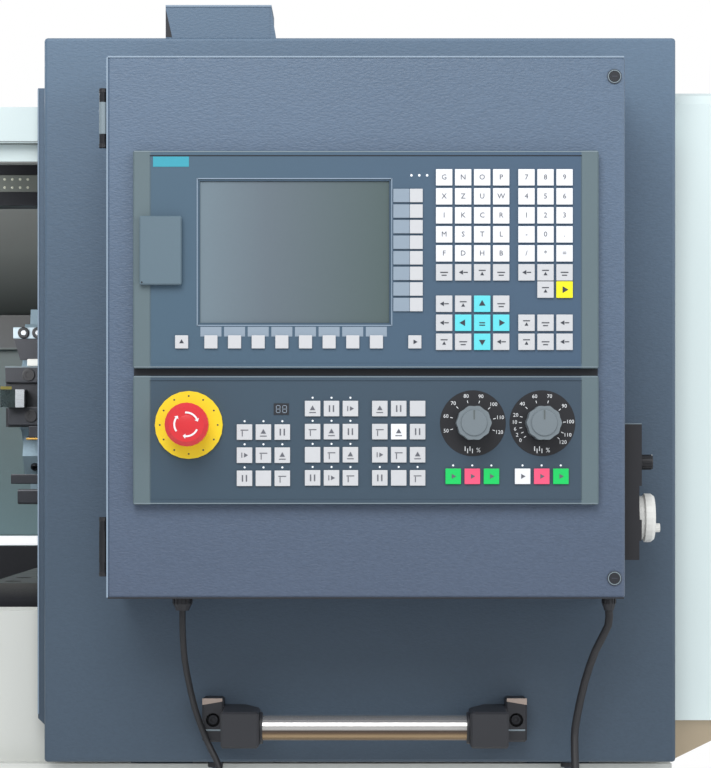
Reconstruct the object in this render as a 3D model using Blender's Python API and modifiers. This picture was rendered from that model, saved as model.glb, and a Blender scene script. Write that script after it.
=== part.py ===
# CNC turning lathe with a sliding door that carries its control box.
# Metres, +Z up. X runs along the spindle, the operator stands at -Y.
# The origin is at the middle of the outer box, on the floor.
import math

import bpy
import bmesh
from mathutils import Matrix, Vector

# Fits and facets
GAP = 0.0003
FREE_GAP = 0.0015
OVERRUN = 0.002
ROUND_STEPS = 24
FINE_STEPS = 32
SMALL_STEPS = 12

# Sheet metal
SHEET = 0.002
CASING_SHEET = 0.002
FOLD_RADIUS = 0.003
CASING_EDGE = 0.012

# Operator panels, measured on their front faces
BEZEL_WIDTH = 0.4215
BEZEL_THICKNESS = 0.0097
BEZEL_EDGE = 0.0012
SCREEN_BEZEL_HEIGHT = 0.1972
MACHINE_BEZEL_HEIGHT = 0.1167
BEZEL_SPACING = 0.0067
HOUSING_INSET = 0.012
HOUSING_DEPTH = 0.048
FIELD_SIDE = 0.0152
FIELD_TOP = 0.0042
FIELD_SINK = 0.0008
KEY_RISE = 0.0016
KEY_SIZE = 0.0145
KEY_PITCH = 0.0172

# Screen and the keys round it
GLASS_WIDTH = 0.1713
GLASS_HEIGHT = 0.1281
GLASS_THICKNESS = 0.0012
GLASS_LEFT = 0.0605
GLASS_TOP = 0.0278
FRAME_RIM = 0.0024
FRAME_SINK = 0.0010
GLASS_SINK = 0.0030
SIDE_KEY_LEFT = 0.2357
SIDE_KEY_WIDTH = 0.0263
SIDE_KEY_HEIGHT = 0.0118
SIDE_KEY_PITCH = 0.0141
LOW_KEY_LEFT = 0.0648
LOW_KEY_SIZE = 0.0115
LOW_KEY_PITCH = 0.02139
LOW_KEY_TOP = 0.1676
END_KEY_LEFTS = (0.0383, 0.2493)
SOFT_KEYS = 8
LETTER_LEFT = 0.2743
LETTER_TOP = 0.0172
LETTER_COLUMNS = 4
LETTER_ROWS = 6
NUMBER_LEFT = 0.3488
NUMBER_COLUMNS = 3
CURSOR_TOP = 0.1316
CURSOR_ROWS = 3
CYCLE_TOP = 0.1188

# Side flap over the data sockets
FLAP_LEFT = 0.0063
FLAP_TOP = 0.0598
FLAP_WIDTH = 0.0380
FLAP_HEIGHT = 0.0622
FLAP_THICKNESS = 0.0060
FLAP_PIN_RADIUS = 0.0020

# Machine panel
SMALL_KEY = 0.0137
SMALL_PITCH = 0.0171
ROW_PITCH = 0.0209
LEFT_KEYS_LEFT = 0.0941
LEFT_KEYS_TOP = 0.0442
LEFT_KEYS_ROWS = 3
MIDDLE_KEYS_LEFT = 0.1557
RIGHT_KEYS_LEFT = 0.2165
MIDDLE_KEYS_TOP = 0.0229
MIDDLE_KEYS_ROWS = 4
KEY_COLUMNS = 3
START_KEYS_LEFT = 0.2829
START_KEYS_SECOND = 0.3457
START_KEYS_TOP = 0.0842
START_KEYS_PITCH = 0.0173
DIGITS_LEFT = 0.1274
DIGITS_TOP = 0.0250
DIGITS_WIDTH = 0.0137
DIGITS_HEIGHT = 0.0104
STOP_LEFT = 0.0506
STOP_TOP = 0.0446
STOP_RING_RADIUS = 0.0307
STOP_RING_THICKNESS = 0.0030
STOP_HEAD_RADIUS = 0.0196
STOP_STEM_RADIUS = 0.0110
STOP_HEIGHT = 0.0355
STOP_TRAVEL = 0.0050
STOP_BORE_DEPTH = 0.0120
FEED_DIAL_LEFT = 0.3705
SPEED_DIAL_LEFT = 0.3076
DIAL_TOP = 0.0430
DIAL_KNOB_RADIUS = 0.0158
DIAL_KNOB_HEIGHT = 0.0260
DIAL_KNOB_FLUTES = 10
DIAL_FLUTE_DEPTH = 0.0010
DIAL_STEM_RADIUS = 0.0030
DIAL_STEM_DEPTH = 0.0080

# Control box
PLATE_SIDE = 0.0250
PLATE_TOP = 0.0869
PLATE_BOTTOM = 0.0856
PLATE_FOLD = 0.0200
BOX_DEPTH = 0.1300
BOX_INSET = 0.0010
BOX_SEAL_GAP = 0.0023
LOCK_SIDE = 0.0098
LOCK_TOP = 0.0185
LOCK_RADIUS = 0.0052
LOCK_RIM_RADIUS = 0.0066
LOCK_RIM_HEIGHT = 0.0010
LOCK_CAM_LENGTH = 0.0040
LOCK_CAM_WIDTH = 0.0060
LOCK_CAM_THICKNESS = 0.0020
LOCK_REACH = 0.0260
HINGE_RADIUS = 0.0033
HINGE_LENGTH = 0.0540
HINGE_UPPER_TOP = 0.0290
HINGE_LOWER_TOP = 0.4190
HINGE_LEAF_WIDTH = 0.0360
HINGE_LEAF_THICKNESS = 0.0014

# Hand pulse unit on the box's right side
PULSE_THICKNESS = 0.0190
PULSE_DEPTH = 0.0800
PULSE_HEIGHT = 0.1250
PULSE_TOP = 0.3340
PULSE_SET_BACK = 0.0260
PULSE_STEP = 0.0022
PULSE_STEP_SHARES = (0.455, 0.705)
WHEEL_RADIUS = 0.0228
WHEEL_THICKNESS = 0.0150
WHEEL_DROP = 0.0870
WHEEL_STEM_RADIUS = 0.0050
CRANK_RADIUS = 0.0042
CRANK_LENGTH = 0.0070
CRANK_OFFSET = 0.0150
CRANK_PIN_RADIUS = 0.0015
CRANK_TURN = -40.0
SELECTOR_RADIUS = 0.0067
SELECTOR_LENGTH = 0.0140
SELECTOR_DROP = 0.0350
SIDE_KNOB_RADIUS = 0.0098
SIDE_KNOB_THICKNESS = 0.0050
SIDE_KNOB_TOP = 0.0920
SIDE_PLUG_RADIUS = 0.0065
SIDE_PLUG_THICKNESS = 0.0030
SIDE_PLUG_TOP = 0.3130
SIDE_PARTS_SET_BACK = 0.0400
KNOB_STEM_DEPTH = 0.0060

# Cables and their glands
CABLE_RADIUS_LEFT = 0.0030
CABLE_RADIUS_RIGHT = 0.0037
GLAND_RADIUS = 0.0088
GLAND_NUT_LENGTH = 0.0090
GLAND_DOME_LENGTH = 0.0060
GLAND_THREAD_RADIUS = 0.0060
GLAND_THREAD_LENGTH = 0.0080
GLAND_SET_BACK = 0.0620
GLAND_LEFT_SHARE = 0.137
GLAND_RIGHT_SHARE = 0.9815
GLAND_RIGHT_RADIUS = 0.0062
GLAND_RIGHT_THREAD_RADIUS = 0.0045

# Door
DOOR_MARGIN = 0.0678
DOOR_TOP_MARGIN = 0.0392
DOOR_BOTTOM_MARGIN = 0.1642
BOX_OFF_CENTRE = 0.0056
DOOR_DEPTH = 0.0250
DOOR_LAP = 0.0185
DOOR_SHOW = 0.0100
DOOR_DROP = 0.0350
DOOR_TOP_LAP = 0.1145
LIP_SHOW = 0.0090
LIP_WIDTH = 0.0300
LIP_THICKNESS = 0.0060
LIP_TOP_INSET = 0.0450
LIP_BOTTOM_INSET = 0.0310
DOOR_RUN_GAP = 0.0250
SHOE_LENGTH = 0.0600
SHOE_HEIGHT = 0.0450
SHOE_GRIP = 0.0150
SHOE_INSET = 0.0800
TONGUE_THICKNESS = 0.0050
TONGUE_HEIGHT = 0.0100
TONGUE_DIP = 0.0180
GROMMET_RADIUS = 0.0070
GROMMET_HEIGHT = 0.0060
SWITCH_COVER_WIDTH = 0.1020
SWITCH_COVER_HEIGHT = 0.0315
SWITCH_COVER_DEPTH = 0.0700
SWITCH_COVER_LEFT = 0.1165
SWITCH_COVER_SET_BACK = 0.0040

# Door handle
HANDLE_OFF_CENTRE = 0.0045
HANDLE_TUBE_LENGTH = 0.1970
HANDLE_TUBE_RADIUS = 0.0117
HANDLE_TUBE_SEAT = 0.0100
HANDLE_STAND_OFF = 0.0800
HANDLE_BLOCK_WIDTH = 0.0355
HANDLE_BLOCK_HEIGHT = 0.0340
HANDLE_BLOCK_DEPTH = 0.0460
HANDLE_FOOT_SHIFT = 0.0207
HANDLE_FOOT_DEPTH = 0.0240
HANDLE_FOOT_RISE = 0.0080
HANDLE_EDGE = 0.0020
HANDLE_HEIGHT = 0.0390
HANDLE_SCREW_RADIUS = 0.0068
HANDLE_SCREW_HEAD = 0.0048
HANDLE_SCREW_DEPTH = 0.0090

# Door rails
RAIL_HEIGHT = 0.0345
RAIL_THICKNESS = 0.0080
RAIL_TO_CASING = 0.0060
RAIL_SPACERS = 5
RAIL_SPACER_SIZE = 0.0100
GUIDE_HEIGHT = 0.0290
GUIDE_DEPTH = 0.0195
GUIDE_SINK = 0.0050
GUIDE_SLOT_DEPTH = 0.0220

# Casing, from the left end to the right end
HEAD_LENGTH = 0.7000
TAIL_LENGTH = 0.6800
SADDLE_BACK_ROOM = 0.0300
SILL_HEIGHT = 0.1080
SILL_DEPTH = 0.0600
HEADER_HEIGHT = 0.0530
CASING_RISE = 0.0170
HEADER_LIP = 0.0150
APRON_DROP = 0.0890
WALL_BACK_ROOM = 0.0600
LEDGE_DEPTH = 0.0600
LEDGE_HEIGHT = 0.1610
BACK_WALL_HEIGHT = 0.2370
BACK_FOLD = 0.0250
COVER_SHARE = 0.75
BACK_BAND = 0.0430
ROOF_SLOPE_RUN = 0.2850
LOUVRES = 6
LOUVRE_WIDTH = 0.2000
LOUVRE_HEIGHT = 0.0100
LOUVRE_PITCH = 0.0300
LOUVRE_TOP = 0.1000

# Lamp under the roof
LAMP_LENGTH = 0.5200
LAMP_HEIGHT = 0.0450
LAMP_DEPTH = 0.0360
LAMP_TUBE_RADIUS = 0.0088
LAMP_SET_BACK = 0.1100
LAMP_DROP = 0.0380
LAMP_ARM = 0.0300

# Base
FOOT_HEIGHT = 0.0400
FOOT_RADIUS = 0.0300
FOOT_PAD = 0.0150
FOOT_STEM_RADIUS = 0.0110
FOOT_INSET = 0.0700
BASE_HEIGHT = 0.6200
BASE_FRONT_INSET = 0.1100
BASE_DEPTH = 0.6300
BASE_END_INSET = 0.0450
BASE_EDGE = 0.0080
LEFT_PEDESTAL = 0.6300
RIGHT_PEDESTAL = 0.3850
BACK_BEAM = 0.0300
BACK_BEAM_DROP = 0.0600
PANEL_RECESS = 0.0030
PANEL_MARGIN = 0.0600

# Chip tray
TRAY_HEIGHT = 0.2090
TRAY_SLOPE_RUN = 0.3870
TRAY_LEFT_RUN = 0.0300
TRAY_BACK_INSET = 0.0600
CHUTE_LENGTH = 0.2800
CHUTE_WIDTH = 0.0900
CHUTE_LEFT = 0.1000

# Bed
SPINDLE_SET_BACK = 0.3300
BED_WIDTH = 0.3000
BED_HEIGHT = 0.2720
BED_LEFT_INSET = 0.0450
BED_RIGHT_INSET = 0.0750
BED_WALL = 0.0400
BED_FLANGE = 0.0450
BED_WAIST = 0.0250
BED_WEB = 0.0300
BED_OVERHANG_HEIGHT = 0.0900
BED_WINDOWS = 6
BED_WINDOW_LENGTH = 0.1200
WAY_WIDTH = 0.0300
WAY_HEIGHT = 0.0120
CENTRE_HEIGHT = 0.2600

# Headstock, spindle and chuck
HEADSTOCK_LENGTH = 0.3300
HEADSTOCK_WIDTH = 0.2700
HEADSTOCK_ABOVE = 0.1300
HEADSTOCK_EDGE = 0.0150
HEADSTOCK_TO_WALL = 0.0250
MOTOR_LENGTH = 0.2300
MOTOR_RADIUS = 0.1150
MOTOR_FINS = 4
MOTOR_FIN_DEPTH = 0.0060
SPINDLE_RADIUS = 0.0550
SPINDLE_BORE = 0.0260
SPINDLE_NOSE_RADIUS = 0.0680
SPINDLE_NOSE_LENGTH = 0.0380
SPINDLE_TAIL = 0.0200
NOSE_HOLE_RADIUS = 0.0760
CHUCK_RADIUS = 0.1000
CHUCK_LENGTH = 0.0850
CHUCK_BORE = 0.0280
CHUCK_EDGE = 0.0040
CHUCK_TO_WALL = 0.0130
JAW_WIDTH = 0.0240
JAW_SLOT_DEPTH = 0.0120
JAW_INNER = 0.0380
JAW_OUTER = 0.0860
JAW_STEP_RUN = 0.0150
JAW_STEP_RISE = 0.0130
JAWS = 3

# Carriage
SADDLE_LEFT_SHOW = 0.0850
SADDLE_LENGTH = 0.3000
SADDLE_THICKNESS = 0.0650
SADDLE_FRONT = 0.0900
SADDLE_DEPTH = 0.5600
SADDLE_CORNER = 0.0400
SADDLE_KEEPER = 0.0300
SADDLE_KEEPER_DROP = 0.0500
SADDLE_SCREW_RADIUS = 0.0090
SADDLE_SCREW_DEPTH = 0.0060
DOVETAIL_WIDTH = 0.0900
DOVETAIL_HEIGHT = 0.0180
DOVETAIL_UNDERCUT = 0.0090
SLIDE_WIDTH = 0.2000
SLIDE_DEPTH = 0.3300
SLIDE_HEIGHT = 0.0400
SLIDE_SET_BACK = 0.1950
SLIDE_FROM_RIGHT = 0.0200
SCREW_RADIUS = 0.0160
SCREW_CLEAR_BED = 0.0300
SCREW_DROP = 0.0350
NUT_LENGTH = 0.1200
NUT_SIDE = 0.0600
SCREW_BLOCK_LENGTH = 0.0400
SERVO_LENGTH = 0.1500
SERVO_SIDE = 0.1000
SERVO_BORE = 0.0100

# Turret
TURRET_BEHIND = 0.1500
TURRET_FLAT = 0.0820
TURRET_THICKNESS = 0.0600
TURRET_NECK_RADIUS = 0.0500
TURRET_NECK_LENGTH = 0.0180
TURRET_STATIONS = 8
TURRET_LEFT_SHOW = 0.0935
HOUSING_LENGTH = 0.1700
HOUSING_WIDTH = 0.1600
HOUSING_ABOVE = 0.1000
HOUSING_EDGE = 0.0150
BLOCK_HEIGHT = 0.0630
BLOCK_DEPTH = 0.0310
BLOCK_OVERHANG = 0.0130
BLOCK_SLOT = 0.0206
BLOCK_SLOT_DEPTH = 0.0240
TOOL_SHANK = 0.0200
TOOL_STICK_OUT = 0.0330
TOOL_INSERT = 0.0100
CLAMP_HEIGHT = 0.0480
CLAMP_DEPTH = 0.0250
CLAMP_TAPER = 0.0080

# Tailstock
TAILSTOCK_CLEAR = 0.0300
TAILSTOCK_LENGTH = 0.1700
TAILSTOCK_BASE = 0.0450
TAILSTOCK_WIDTH = 0.2600
TAILSTOCK_WAIST = 0.1000
BARREL_RADIUS = 0.0480
BARREL_LENGTH = 0.1900
QUILL_RADIUS = 0.0300
QUILL_LENGTH = 0.1500
QUILL_OUT = 0.0600
CENTRE_RADIUS = 0.0220
CENTRE_LENGTH = 0.0550
CENTRE_CONE = 0.0330
CENTRE_SHANK_RADIUS = 0.0120
CENTRE_SHANK_LENGTH = 0.0400
CYLINDER_RADIUS = 0.0380
CYLINDER_LENGTH = 0.0500
CYLINDER_FLANGE = 0.0120

# Electrical cabinet on the back
CABINET_WIDTH = 0.9000
CABINET_HEIGHT = 0.6000
CABINET_DEPTH = 0.2000
CABINET_DOOR_DEPTH = 0.0200
CABINET_BOTTOM = 0.8400
CABINET_PIN_RADIUS = 0.0050
MODULES = 4
MODULE_WIDTH = 0.0900
MODULE_HEIGHT = 0.2600
MODULE_DEPTH = 0.1300
MODULE_PITCH = 0.1200
CATCH_RADIUS = 0.0160
CATCH_SEAT = 0.0200
CATCH_SINK = 0.0060
CATCH_SLOT = 0.0050
CATCH_STEM_RADIUS = 0.0050
CATCH_SIDE = 0.0400

# Widths worked out from the operator panels outwards
plate_width = BEZEL_WIDTH + 2 * PLATE_SIDE
panels_height = SCREEN_BEZEL_HEIGHT + BEZEL_SPACING + MACHINE_BEZEL_HEIGHT
plate_height = PLATE_TOP + panels_height + PLATE_BOTTOM
door_width = plate_width + 2 * DOOR_MARGIN
door_height = DOOR_TOP_MARGIN + plate_height + DOOR_BOTTOM_MARGIN
opening_width = door_width - 2 * DOOR_LAP
machine_length = HEAD_LENGTH + opening_width + TAIL_LENGTH

# Places along X
machine_left = -machine_length / 2
machine_right = machine_length / 2
opening_left = machine_left + HEAD_LENGTH
opening_right = opening_left + opening_width
door_left = opening_right - DOOR_SHOW
door_right = door_left + door_width
door_x = (door_left + door_right) / 2
door_travel = door_left - opening_left + DOOR_LAP
plate_left = door_x + BOX_OFF_CENTRE - plate_width / 2
plate_right = plate_left + plate_width
bezel_left = plate_left + PLATE_SIDE

# Places along Y
stop_reach = STOP_HEIGHT + GAP - FIELD_SINK
front_stack = stop_reach + BEZEL_THICKNESS + GAP + BOX_DEPTH + DOOR_DEPTH + DOOR_RUN_GAP
back_stack = CABINET_DEPTH + CABINET_DOOR_DEPTH
casing_depth = SADDLE_FRONT + SADDLE_DEPTH + SADDLE_BACK_ROOM + LEDGE_DEPTH + WALL_BACK_ROOM
machine_depth = front_stack + casing_depth + back_stack
front_y = -machine_depth / 2
panel_y = front_y + stop_reach
plate_y = panel_y + BEZEL_THICKNESS + GAP
door_y = plate_y + BOX_DEPTH
door_back_y = door_y + DOOR_DEPTH
casing_y = door_back_y + DOOR_RUN_GAP
casing_back_y = casing_y + casing_depth
machine_back_y = casing_back_y + back_stack
spindle_y = casing_y + SPINDLE_SET_BACK
turret_y = spindle_y + TURRET_BEHIND
base_front_y = casing_y + BASE_FRONT_INSET
base_back_y = base_front_y + BASE_DEPTH

# Heights
base_top = FOOT_HEIGHT + BASE_HEIGHT
tray_bottom = base_top + GAP
tray_top = tray_bottom + TRAY_HEIGHT
casing_bottom = tray_top + GAP
door_bottom = tray_top - DOOR_DROP
door_top = door_bottom + door_height
opening_bottom = tray_top + SILL_HEIGHT
opening_top = door_top - DOOR_TOP_LAP
header_top = opening_top + HEADER_HEIGHT
casing_top = header_top + CASING_RISE
plate_top = door_top - DOOR_TOP_MARGIN
plate_bottom = plate_top - plate_height
screen_top = plate_top - PLATE_TOP
machine_panel_top = screen_top - SCREEN_BEZEL_HEIGHT - BEZEL_SPACING
bed_bottom = tray_bottom + SHEET + GAP
bed_top = bed_bottom + BED_HEIGHT
spindle_z = bed_top + CENTRE_HEIGHT
tray_flat_right = machine_right - TRAY_SLOPE_RUN

TURN_X = (0.0, math.pi / 2, 0.0)
TURN_FRONT = (math.pi / 2, 0.0, 0.0)
TURN_BACK = (-math.pi / 2, 0.0, 0.0)
TURN_UP = (0.0, 0.0, 0.0)
TURN_DOWN = (math.pi, 0.0, 0.0)
TURN_SECTION = (math.pi / 2, 0.0, math.pi / 2)
SIDE_NORMALS = {
    "left": (-1, 0, 0),
    "right": (1, 0, 0),
    "front": (0, -1, 0),
    "back": (0, 1, 0),
    "bottom": (0, 0, -1),
    "top": (0, 0, 1),
}


# Scene and materials

def clear_scene():
    for obj in list(bpy.data.objects):
        bpy.data.objects.remove(obj, do_unlink=True)


def new_collection(name):
    collection = bpy.data.collections.new(name)
    bpy.context.scene.collection.children.link(collection)
    return collection


clear_scene()
model = new_collection("cnc_turning_lathe")
cutters = new_collection("cutters")


def material(name, colour, roughness, metallic):
    made = bpy.data.materials.new(name)
    made.use_nodes = True
    shader = made.node_tree.nodes["Principled BSDF"]
    shader.inputs["Base Color"].default_value = (*colour, 1.0)
    shader.inputs["Roughness"].default_value = roughness
    shader.inputs["Metallic"].default_value = metallic
    return made


pale_paint = material("pale_paint", (0.66, 0.75, 0.74), 0.45, 0.0)
blue_grey_paint = material("blue_grey_paint", (0.13, 0.17, 0.24), 0.42, 0.0)
base_paint = material("base_paint", (0.58, 0.62, 0.61), 0.5, 0.0)
cast_iron = material("cast_iron", (0.20, 0.21, 0.22), 0.6, 0.3)
ground_steel = material("ground_steel", (0.55, 0.56, 0.57), 0.3, 1.0)
dark_steel = material("dark_steel", (0.05, 0.05, 0.055), 0.4, 0.7)
polished_steel = material("polished_steel", (0.82, 0.80, 0.77), 0.12, 1.0)
black_plastic = material("black_plastic", (0.03, 0.03, 0.034), 0.5, 0.0)
panel_foil = material("panel_foil", (0.10, 0.15, 0.19), 0.5, 0.0)
screen_glass_grey = material("screen_glass_grey", (0.22, 0.25, 0.25), 0.2, 0.0)
knob_grey = material("knob_grey", (0.20, 0.22, 0.23), 0.5, 0.0)
stop_yellow = material("stop_yellow", (0.95, 0.72, 0.02), 0.45, 0.0)
stop_red = material("stop_red", (0.75, 0.04, 0.05), 0.35, 0.0)
white_plastic = material("white_plastic", (0.82, 0.82, 0.80), 0.35, 0.0)
turret_blue = material("turret_blue", (0.38, 0.48, 0.55), 0.4, 0.1)
cable_black = material("cable_black", (0.02, 0.02, 0.022), 0.5, 0.0)
cabinet_grey = material("cabinet_grey", (0.50, 0.53, 0.53), 0.5, 0.0)


# Making single shapes

def add_object(name, mesh, paint):
    obj = bpy.data.objects.new(name, mesh)
    if paint is None:
        cutters.objects.link(obj)
        obj.display_type = "WIRE"
        obj.hide_render = True
        return obj
    model.objects.link(obj)
    obj.data.materials.append(paint)
    return obj


def mesh_from(name, bm):
    bmesh.ops.recalc_face_normals(bm, faces=bm.faces)
    mesh = bpy.data.meshes.new(name)
    bm.to_mesh(mesh)
    bm.free()
    return mesh


def add_box(bm, low, high):
    made = bmesh.ops.create_cube(bm, size=1.0)["verts"]
    size = [b - a for a, b in zip(low, high)]
    middle = [(a + b) / 2 for a, b in zip(low, high)]
    bmesh.ops.scale(bm, vec=size, verts=made)
    bmesh.ops.translate(bm, vec=middle, verts=made)
    return made


def box(name, low, high, paint=None):
    bm = bmesh.new()
    add_box(bm, low, high)
    return add_object(name, mesh_from(name, bm), paint)


def boxes(name, corners, paint=None):
    bm = bmesh.new()
    for low, high in corners:
        add_box(bm, low, high)
    return add_object(name, mesh_from(name, bm), paint)


def cylinder(name, radius, low, high, turn, paint=None, steps=ROUND_STEPS, tip=None):
    # The cylinder runs along the turned local Z from the point low to the point high.
    low, high = Vector(low), Vector(high)
    bm = bmesh.new()
    bmesh.ops.create_cone(
        bm,
        cap_ends=True,
        segments=steps,
        radius1=radius,
        radius2=radius if tip is None else tip,
        depth=(high - low).length,
    )
    obj = add_object(name, mesh_from(name, bm), paint)
    obj.location = (low + high) / 2
    obj.rotation_euler = turn
    return obj


def turned(name, profile, place, turn, paint=None, steps=ROUND_STEPS, hollow=False):
    # The profile lists (radius, height) down the outer side, top to bottom.
    mesh = bpy.data.meshes.new(name)
    points = [(radius, 0.0, height) for radius, height in profile]
    edges = [(i, i + 1) for i in range(len(points) - 1)]
    if hollow:
        edges.append((len(points) - 1, 0))
    mesh.from_pydata(points, edges, [])
    obj = add_object(name, mesh, paint)
    screw = obj.modifiers.new("turn", "SCREW")
    screw.axis = "Z"
    screw.steps = steps
    screw.render_steps = steps
    screw.use_merge_vertices = True
    screw.merge_threshold = 0.00001
    screw.use_smooth_shade = True
    obj.location = place
    obj.rotation_euler = turn
    return obj


def outline_mesh(name, loops, thickness):
    curve = bpy.data.curves.new(name, "CURVE")
    curve.dimensions = "2D"
    curve.fill_mode = "BOTH"
    curve.extrude = thickness / 2
    for loop in loops:
        spline = curve.splines.new("POLY")
        spline.points.add(len(loop) - 1)
        for point, (u, v) in zip(spline.points, loop):
            point.co = (u, v, 0.0, 1.0)
        spline.use_cyclic_u = True
    holder = bpy.data.objects.new(name, curve)
    bpy.context.scene.collection.objects.link(holder)
    bpy.context.view_layer.update()
    seen = holder.evaluated_get(bpy.context.evaluated_depsgraph_get())
    mesh = bpy.data.meshes.new_from_object(seen)
    bpy.data.objects.remove(holder, do_unlink=True)
    bm = bmesh.new()
    bm.from_mesh(mesh)
    bmesh.ops.remove_doubles(bm, verts=bm.verts, dist=0.00001)
    bpy.data.meshes.remove(mesh)
    return mesh_from(name, bm)


def plate(name, loops, back, front, turn, axis, paint=None):
    # A flat outline between two places along one axis (0 is X, 1 is Y, 2 is Z).
    obj = add_object(name, outline_mesh(name, loops, abs(front - back)), paint)
    obj.location[axis] = (back + front) / 2
    obj.rotation_euler = turn
    return obj


def front_plate(name, loops, front, back, paint=None):
    return plate(name, loops, back, front, TURN_FRONT, 1, paint)


def section(name, loops, left, right, paint=None):
    return plate(name, loops, left, right, TURN_SECTION, 0, paint)


def floor_plate(name, loops, low, high, paint=None):
    return plate(name, loops, low, high, TURN_UP, 2, paint)


def solidify(obj, thickness, offset):
    wall = obj.modifiers.new("wall", "SOLIDIFY")
    wall.thickness = thickness
    wall.offset = offset
    wall.use_even_offset = True


def bevel(obj, width, segments=1, angle=40.0):
    edge = obj.modifiers.new("edge", "BEVEL")
    edge.width = width
    edge.segments = segments
    edge.limit_method = "ANGLE"
    edge.angle_limit = math.radians(angle)


def shell(name, low, high, open_sides, thickness, paint=None, rounding=0.0):
    # A box of sheet, open on the named sides, with its outer faces at low and high.
    bm = bmesh.new()
    add_box(bm, low, high)
    bmesh.ops.recalc_face_normals(bm, faces=bm.faces)
    wanted = [Vector(SIDE_NORMALS[side]) for side in open_sides]
    gone = [f for f in bm.faces if any(f.normal.dot(n) > 0.5 for n in wanted)]
    bmesh.ops.delete(bm, geom=gone, context="FACES")
    mesh = bpy.data.meshes.new(name)
    bm.to_mesh(mesh)
    bm.free()
    obj = add_object(name, mesh, paint)
    if rounding:
        bevel(obj, rounding, 2)
    solidify(obj, thickness, -1.0)
    return obj


def folded(name, profile, left, right, thickness, paint=None):
    # A sheet folded along X, its middle surface following (y, z) points.
    bm = bmesh.new()
    points = [bm.verts.new((left, y, z)) for y, z in profile]
    edges = [bm.edges.new((a, b)) for a, b in zip(points, points[1:])]
    made = bmesh.ops.extrude_edge_only(bm, edges=edges)["geom"]
    moved = [v for v in made if isinstance(v, bmesh.types.BMVert)]
    bmesh.ops.translate(bm, vec=(right - left, 0.0, 0.0), verts=moved)
    obj = add_object(name, mesh_from(name, bm), paint)
    solidify(obj, thickness, 0.0)
    return obj


def combine(obj, operation, others):
    for other in others:
        step = obj.modifiers.new(operation.lower(), "BOOLEAN")
        step.operation = operation
        step.solver = "EXACT"
        step.object = other
    return obj


def cut(obj, *others):
    return combine(obj, "DIFFERENCE", others)


def join(obj, *others):
    return combine(obj, "UNION", others)


def bore(radius, steps=ROUND_STEPS):
    # A faceted hole that a faceted shaft of this radius turns in freely.
    return (radius + GAP) / math.cos(math.pi / steps)


pivot_places = {}


def carry(parent, *pieces):
    for piece in pieces:
        piece.parent = parent
        piece.matrix_parent_inverse = Matrix.Translation(pivot_places[parent.name]).inverted()


def pivot(name, place, *pieces):
    # An empty on a joint's axis that carries the pieces, and pivots of its own.
    empty = bpy.data.objects.new(name, None)
    model.objects.link(empty)
    empty.location = place
    pivot_places[name] = Vector(place)
    carry(empty, *pieces)
    return empty


# Base, tray and bed

def base_cabinet():
    left = machine_left + BASE_END_INSET
    right = tray_flat_right - GAP
    pedestals = ((left, left + LEFT_PEDESTAL), (right - RIGHT_PEDESTAL, right))
    low, high = FOOT_HEIGHT, base_top
    body = box("base_cabinet", (left, base_front_y, low), (left + LEFT_PEDESTAL, base_back_y, high), base_paint)
    bevel(body, BASE_EDGE)
    second = box("right_pedestal", (pedestals[1][0], base_front_y, low), (right, base_back_y, high))
    bevel(second, BASE_EDGE)
    beam = box(
        "back_beam",
        (left + LEFT_PEDESTAL - BASE_EDGE * 2, base_back_y - BACK_BEAM - BASE_EDGE, low + BACK_BEAM_DROP),
        (pedestals[1][0] + BASE_EDGE * 2, base_back_y - BASE_EDGE, high - BACK_BEAM_DROP),
    )
    join(body, second, beam)
    recesses = []
    for start, end in pedestals:
        recesses.append((
            (start + PANEL_MARGIN, base_front_y - OVERRUN, low + PANEL_MARGIN),
            (end - PANEL_MARGIN, base_front_y + PANEL_RECESS, high - PANEL_MARGIN),
        ))
    cut(body, boxes("service_panels", recesses))
    for i, x in enumerate(x for span in pedestals for x in (span[0] + FOOT_INSET, span[1] - FOOT_INSET)):
        for j, y in enumerate((base_front_y + FOOT_INSET, base_back_y - FOOT_INSET)):
            profile = [
                (0.0, low + OVERRUN),
                (FOOT_STEM_RADIUS, low + OVERRUN),
                (FOOT_STEM_RADIUS, FOOT_PAD),
                (FOOT_RADIUS, FOOT_PAD / 2),
                (FOOT_RADIUS, 0.0),
                (0.0, 0.0),
            ]
            join(body, turned("foot_%d_%d" % (i, j), profile, (x, y, 0.0), TURN_UP, None, SMALL_STEPS))


def chip_tray():
    bm = bmesh.new()
    add_box(bm, (0.0, 0.0, 0.0), (1.0, 1.0, 1.0))
    tops = {0: (machine_left + SHEET, casing_y + 2 * SHEET), 1: (machine_right, casing_back_y)}
    lows = {
        0: (machine_left + TRAY_LEFT_RUN, base_front_y - GAP),
        1: (tray_flat_right, casing_back_y - TRAY_BACK_INSET),
    }
    for vert in bm.verts:
        x, y, z = (round(c) for c in vert.co)
        level = tops if z else lows
        vert.co = (level[x][0], level[y][1], tray_top if z else tray_bottom)
    bmesh.ops.recalc_face_normals(bm, faces=bm.faces)
    lid = [f for f in bm.faces if f.normal.z > 0.9]
    bmesh.ops.delete(bm, geom=lid, context="FACES")
    mesh = bpy.data.meshes.new("chip_tray")
    bm.to_mesh(mesh)
    bm.free()
    tray = add_object("chip_tray", mesh, base_paint)
    solidify(tray, SHEET, -1.0)
    chute_y = bed_back_y + BED_WALL + CHUTE_WIDTH / 2
    cut(tray, box(
        "tray_rim_trim",
        (machine_left - SHEET, casing_y - SHEET, tray_top),
        (machine_right + SHEET, casing_back_y + SHEET, tray_top + BASE_EDGE),
    ), box(
        "chip_chute",
        (opening_left + CHUTE_LEFT, chute_y - CHUTE_WIDTH / 2, tray_bottom - OVERRUN),
        (opening_left + CHUTE_LEFT + CHUTE_LENGTH, chute_y + CHUTE_WIDTH / 2, tray_bottom + SHEET + OVERRUN),
    ))


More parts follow.
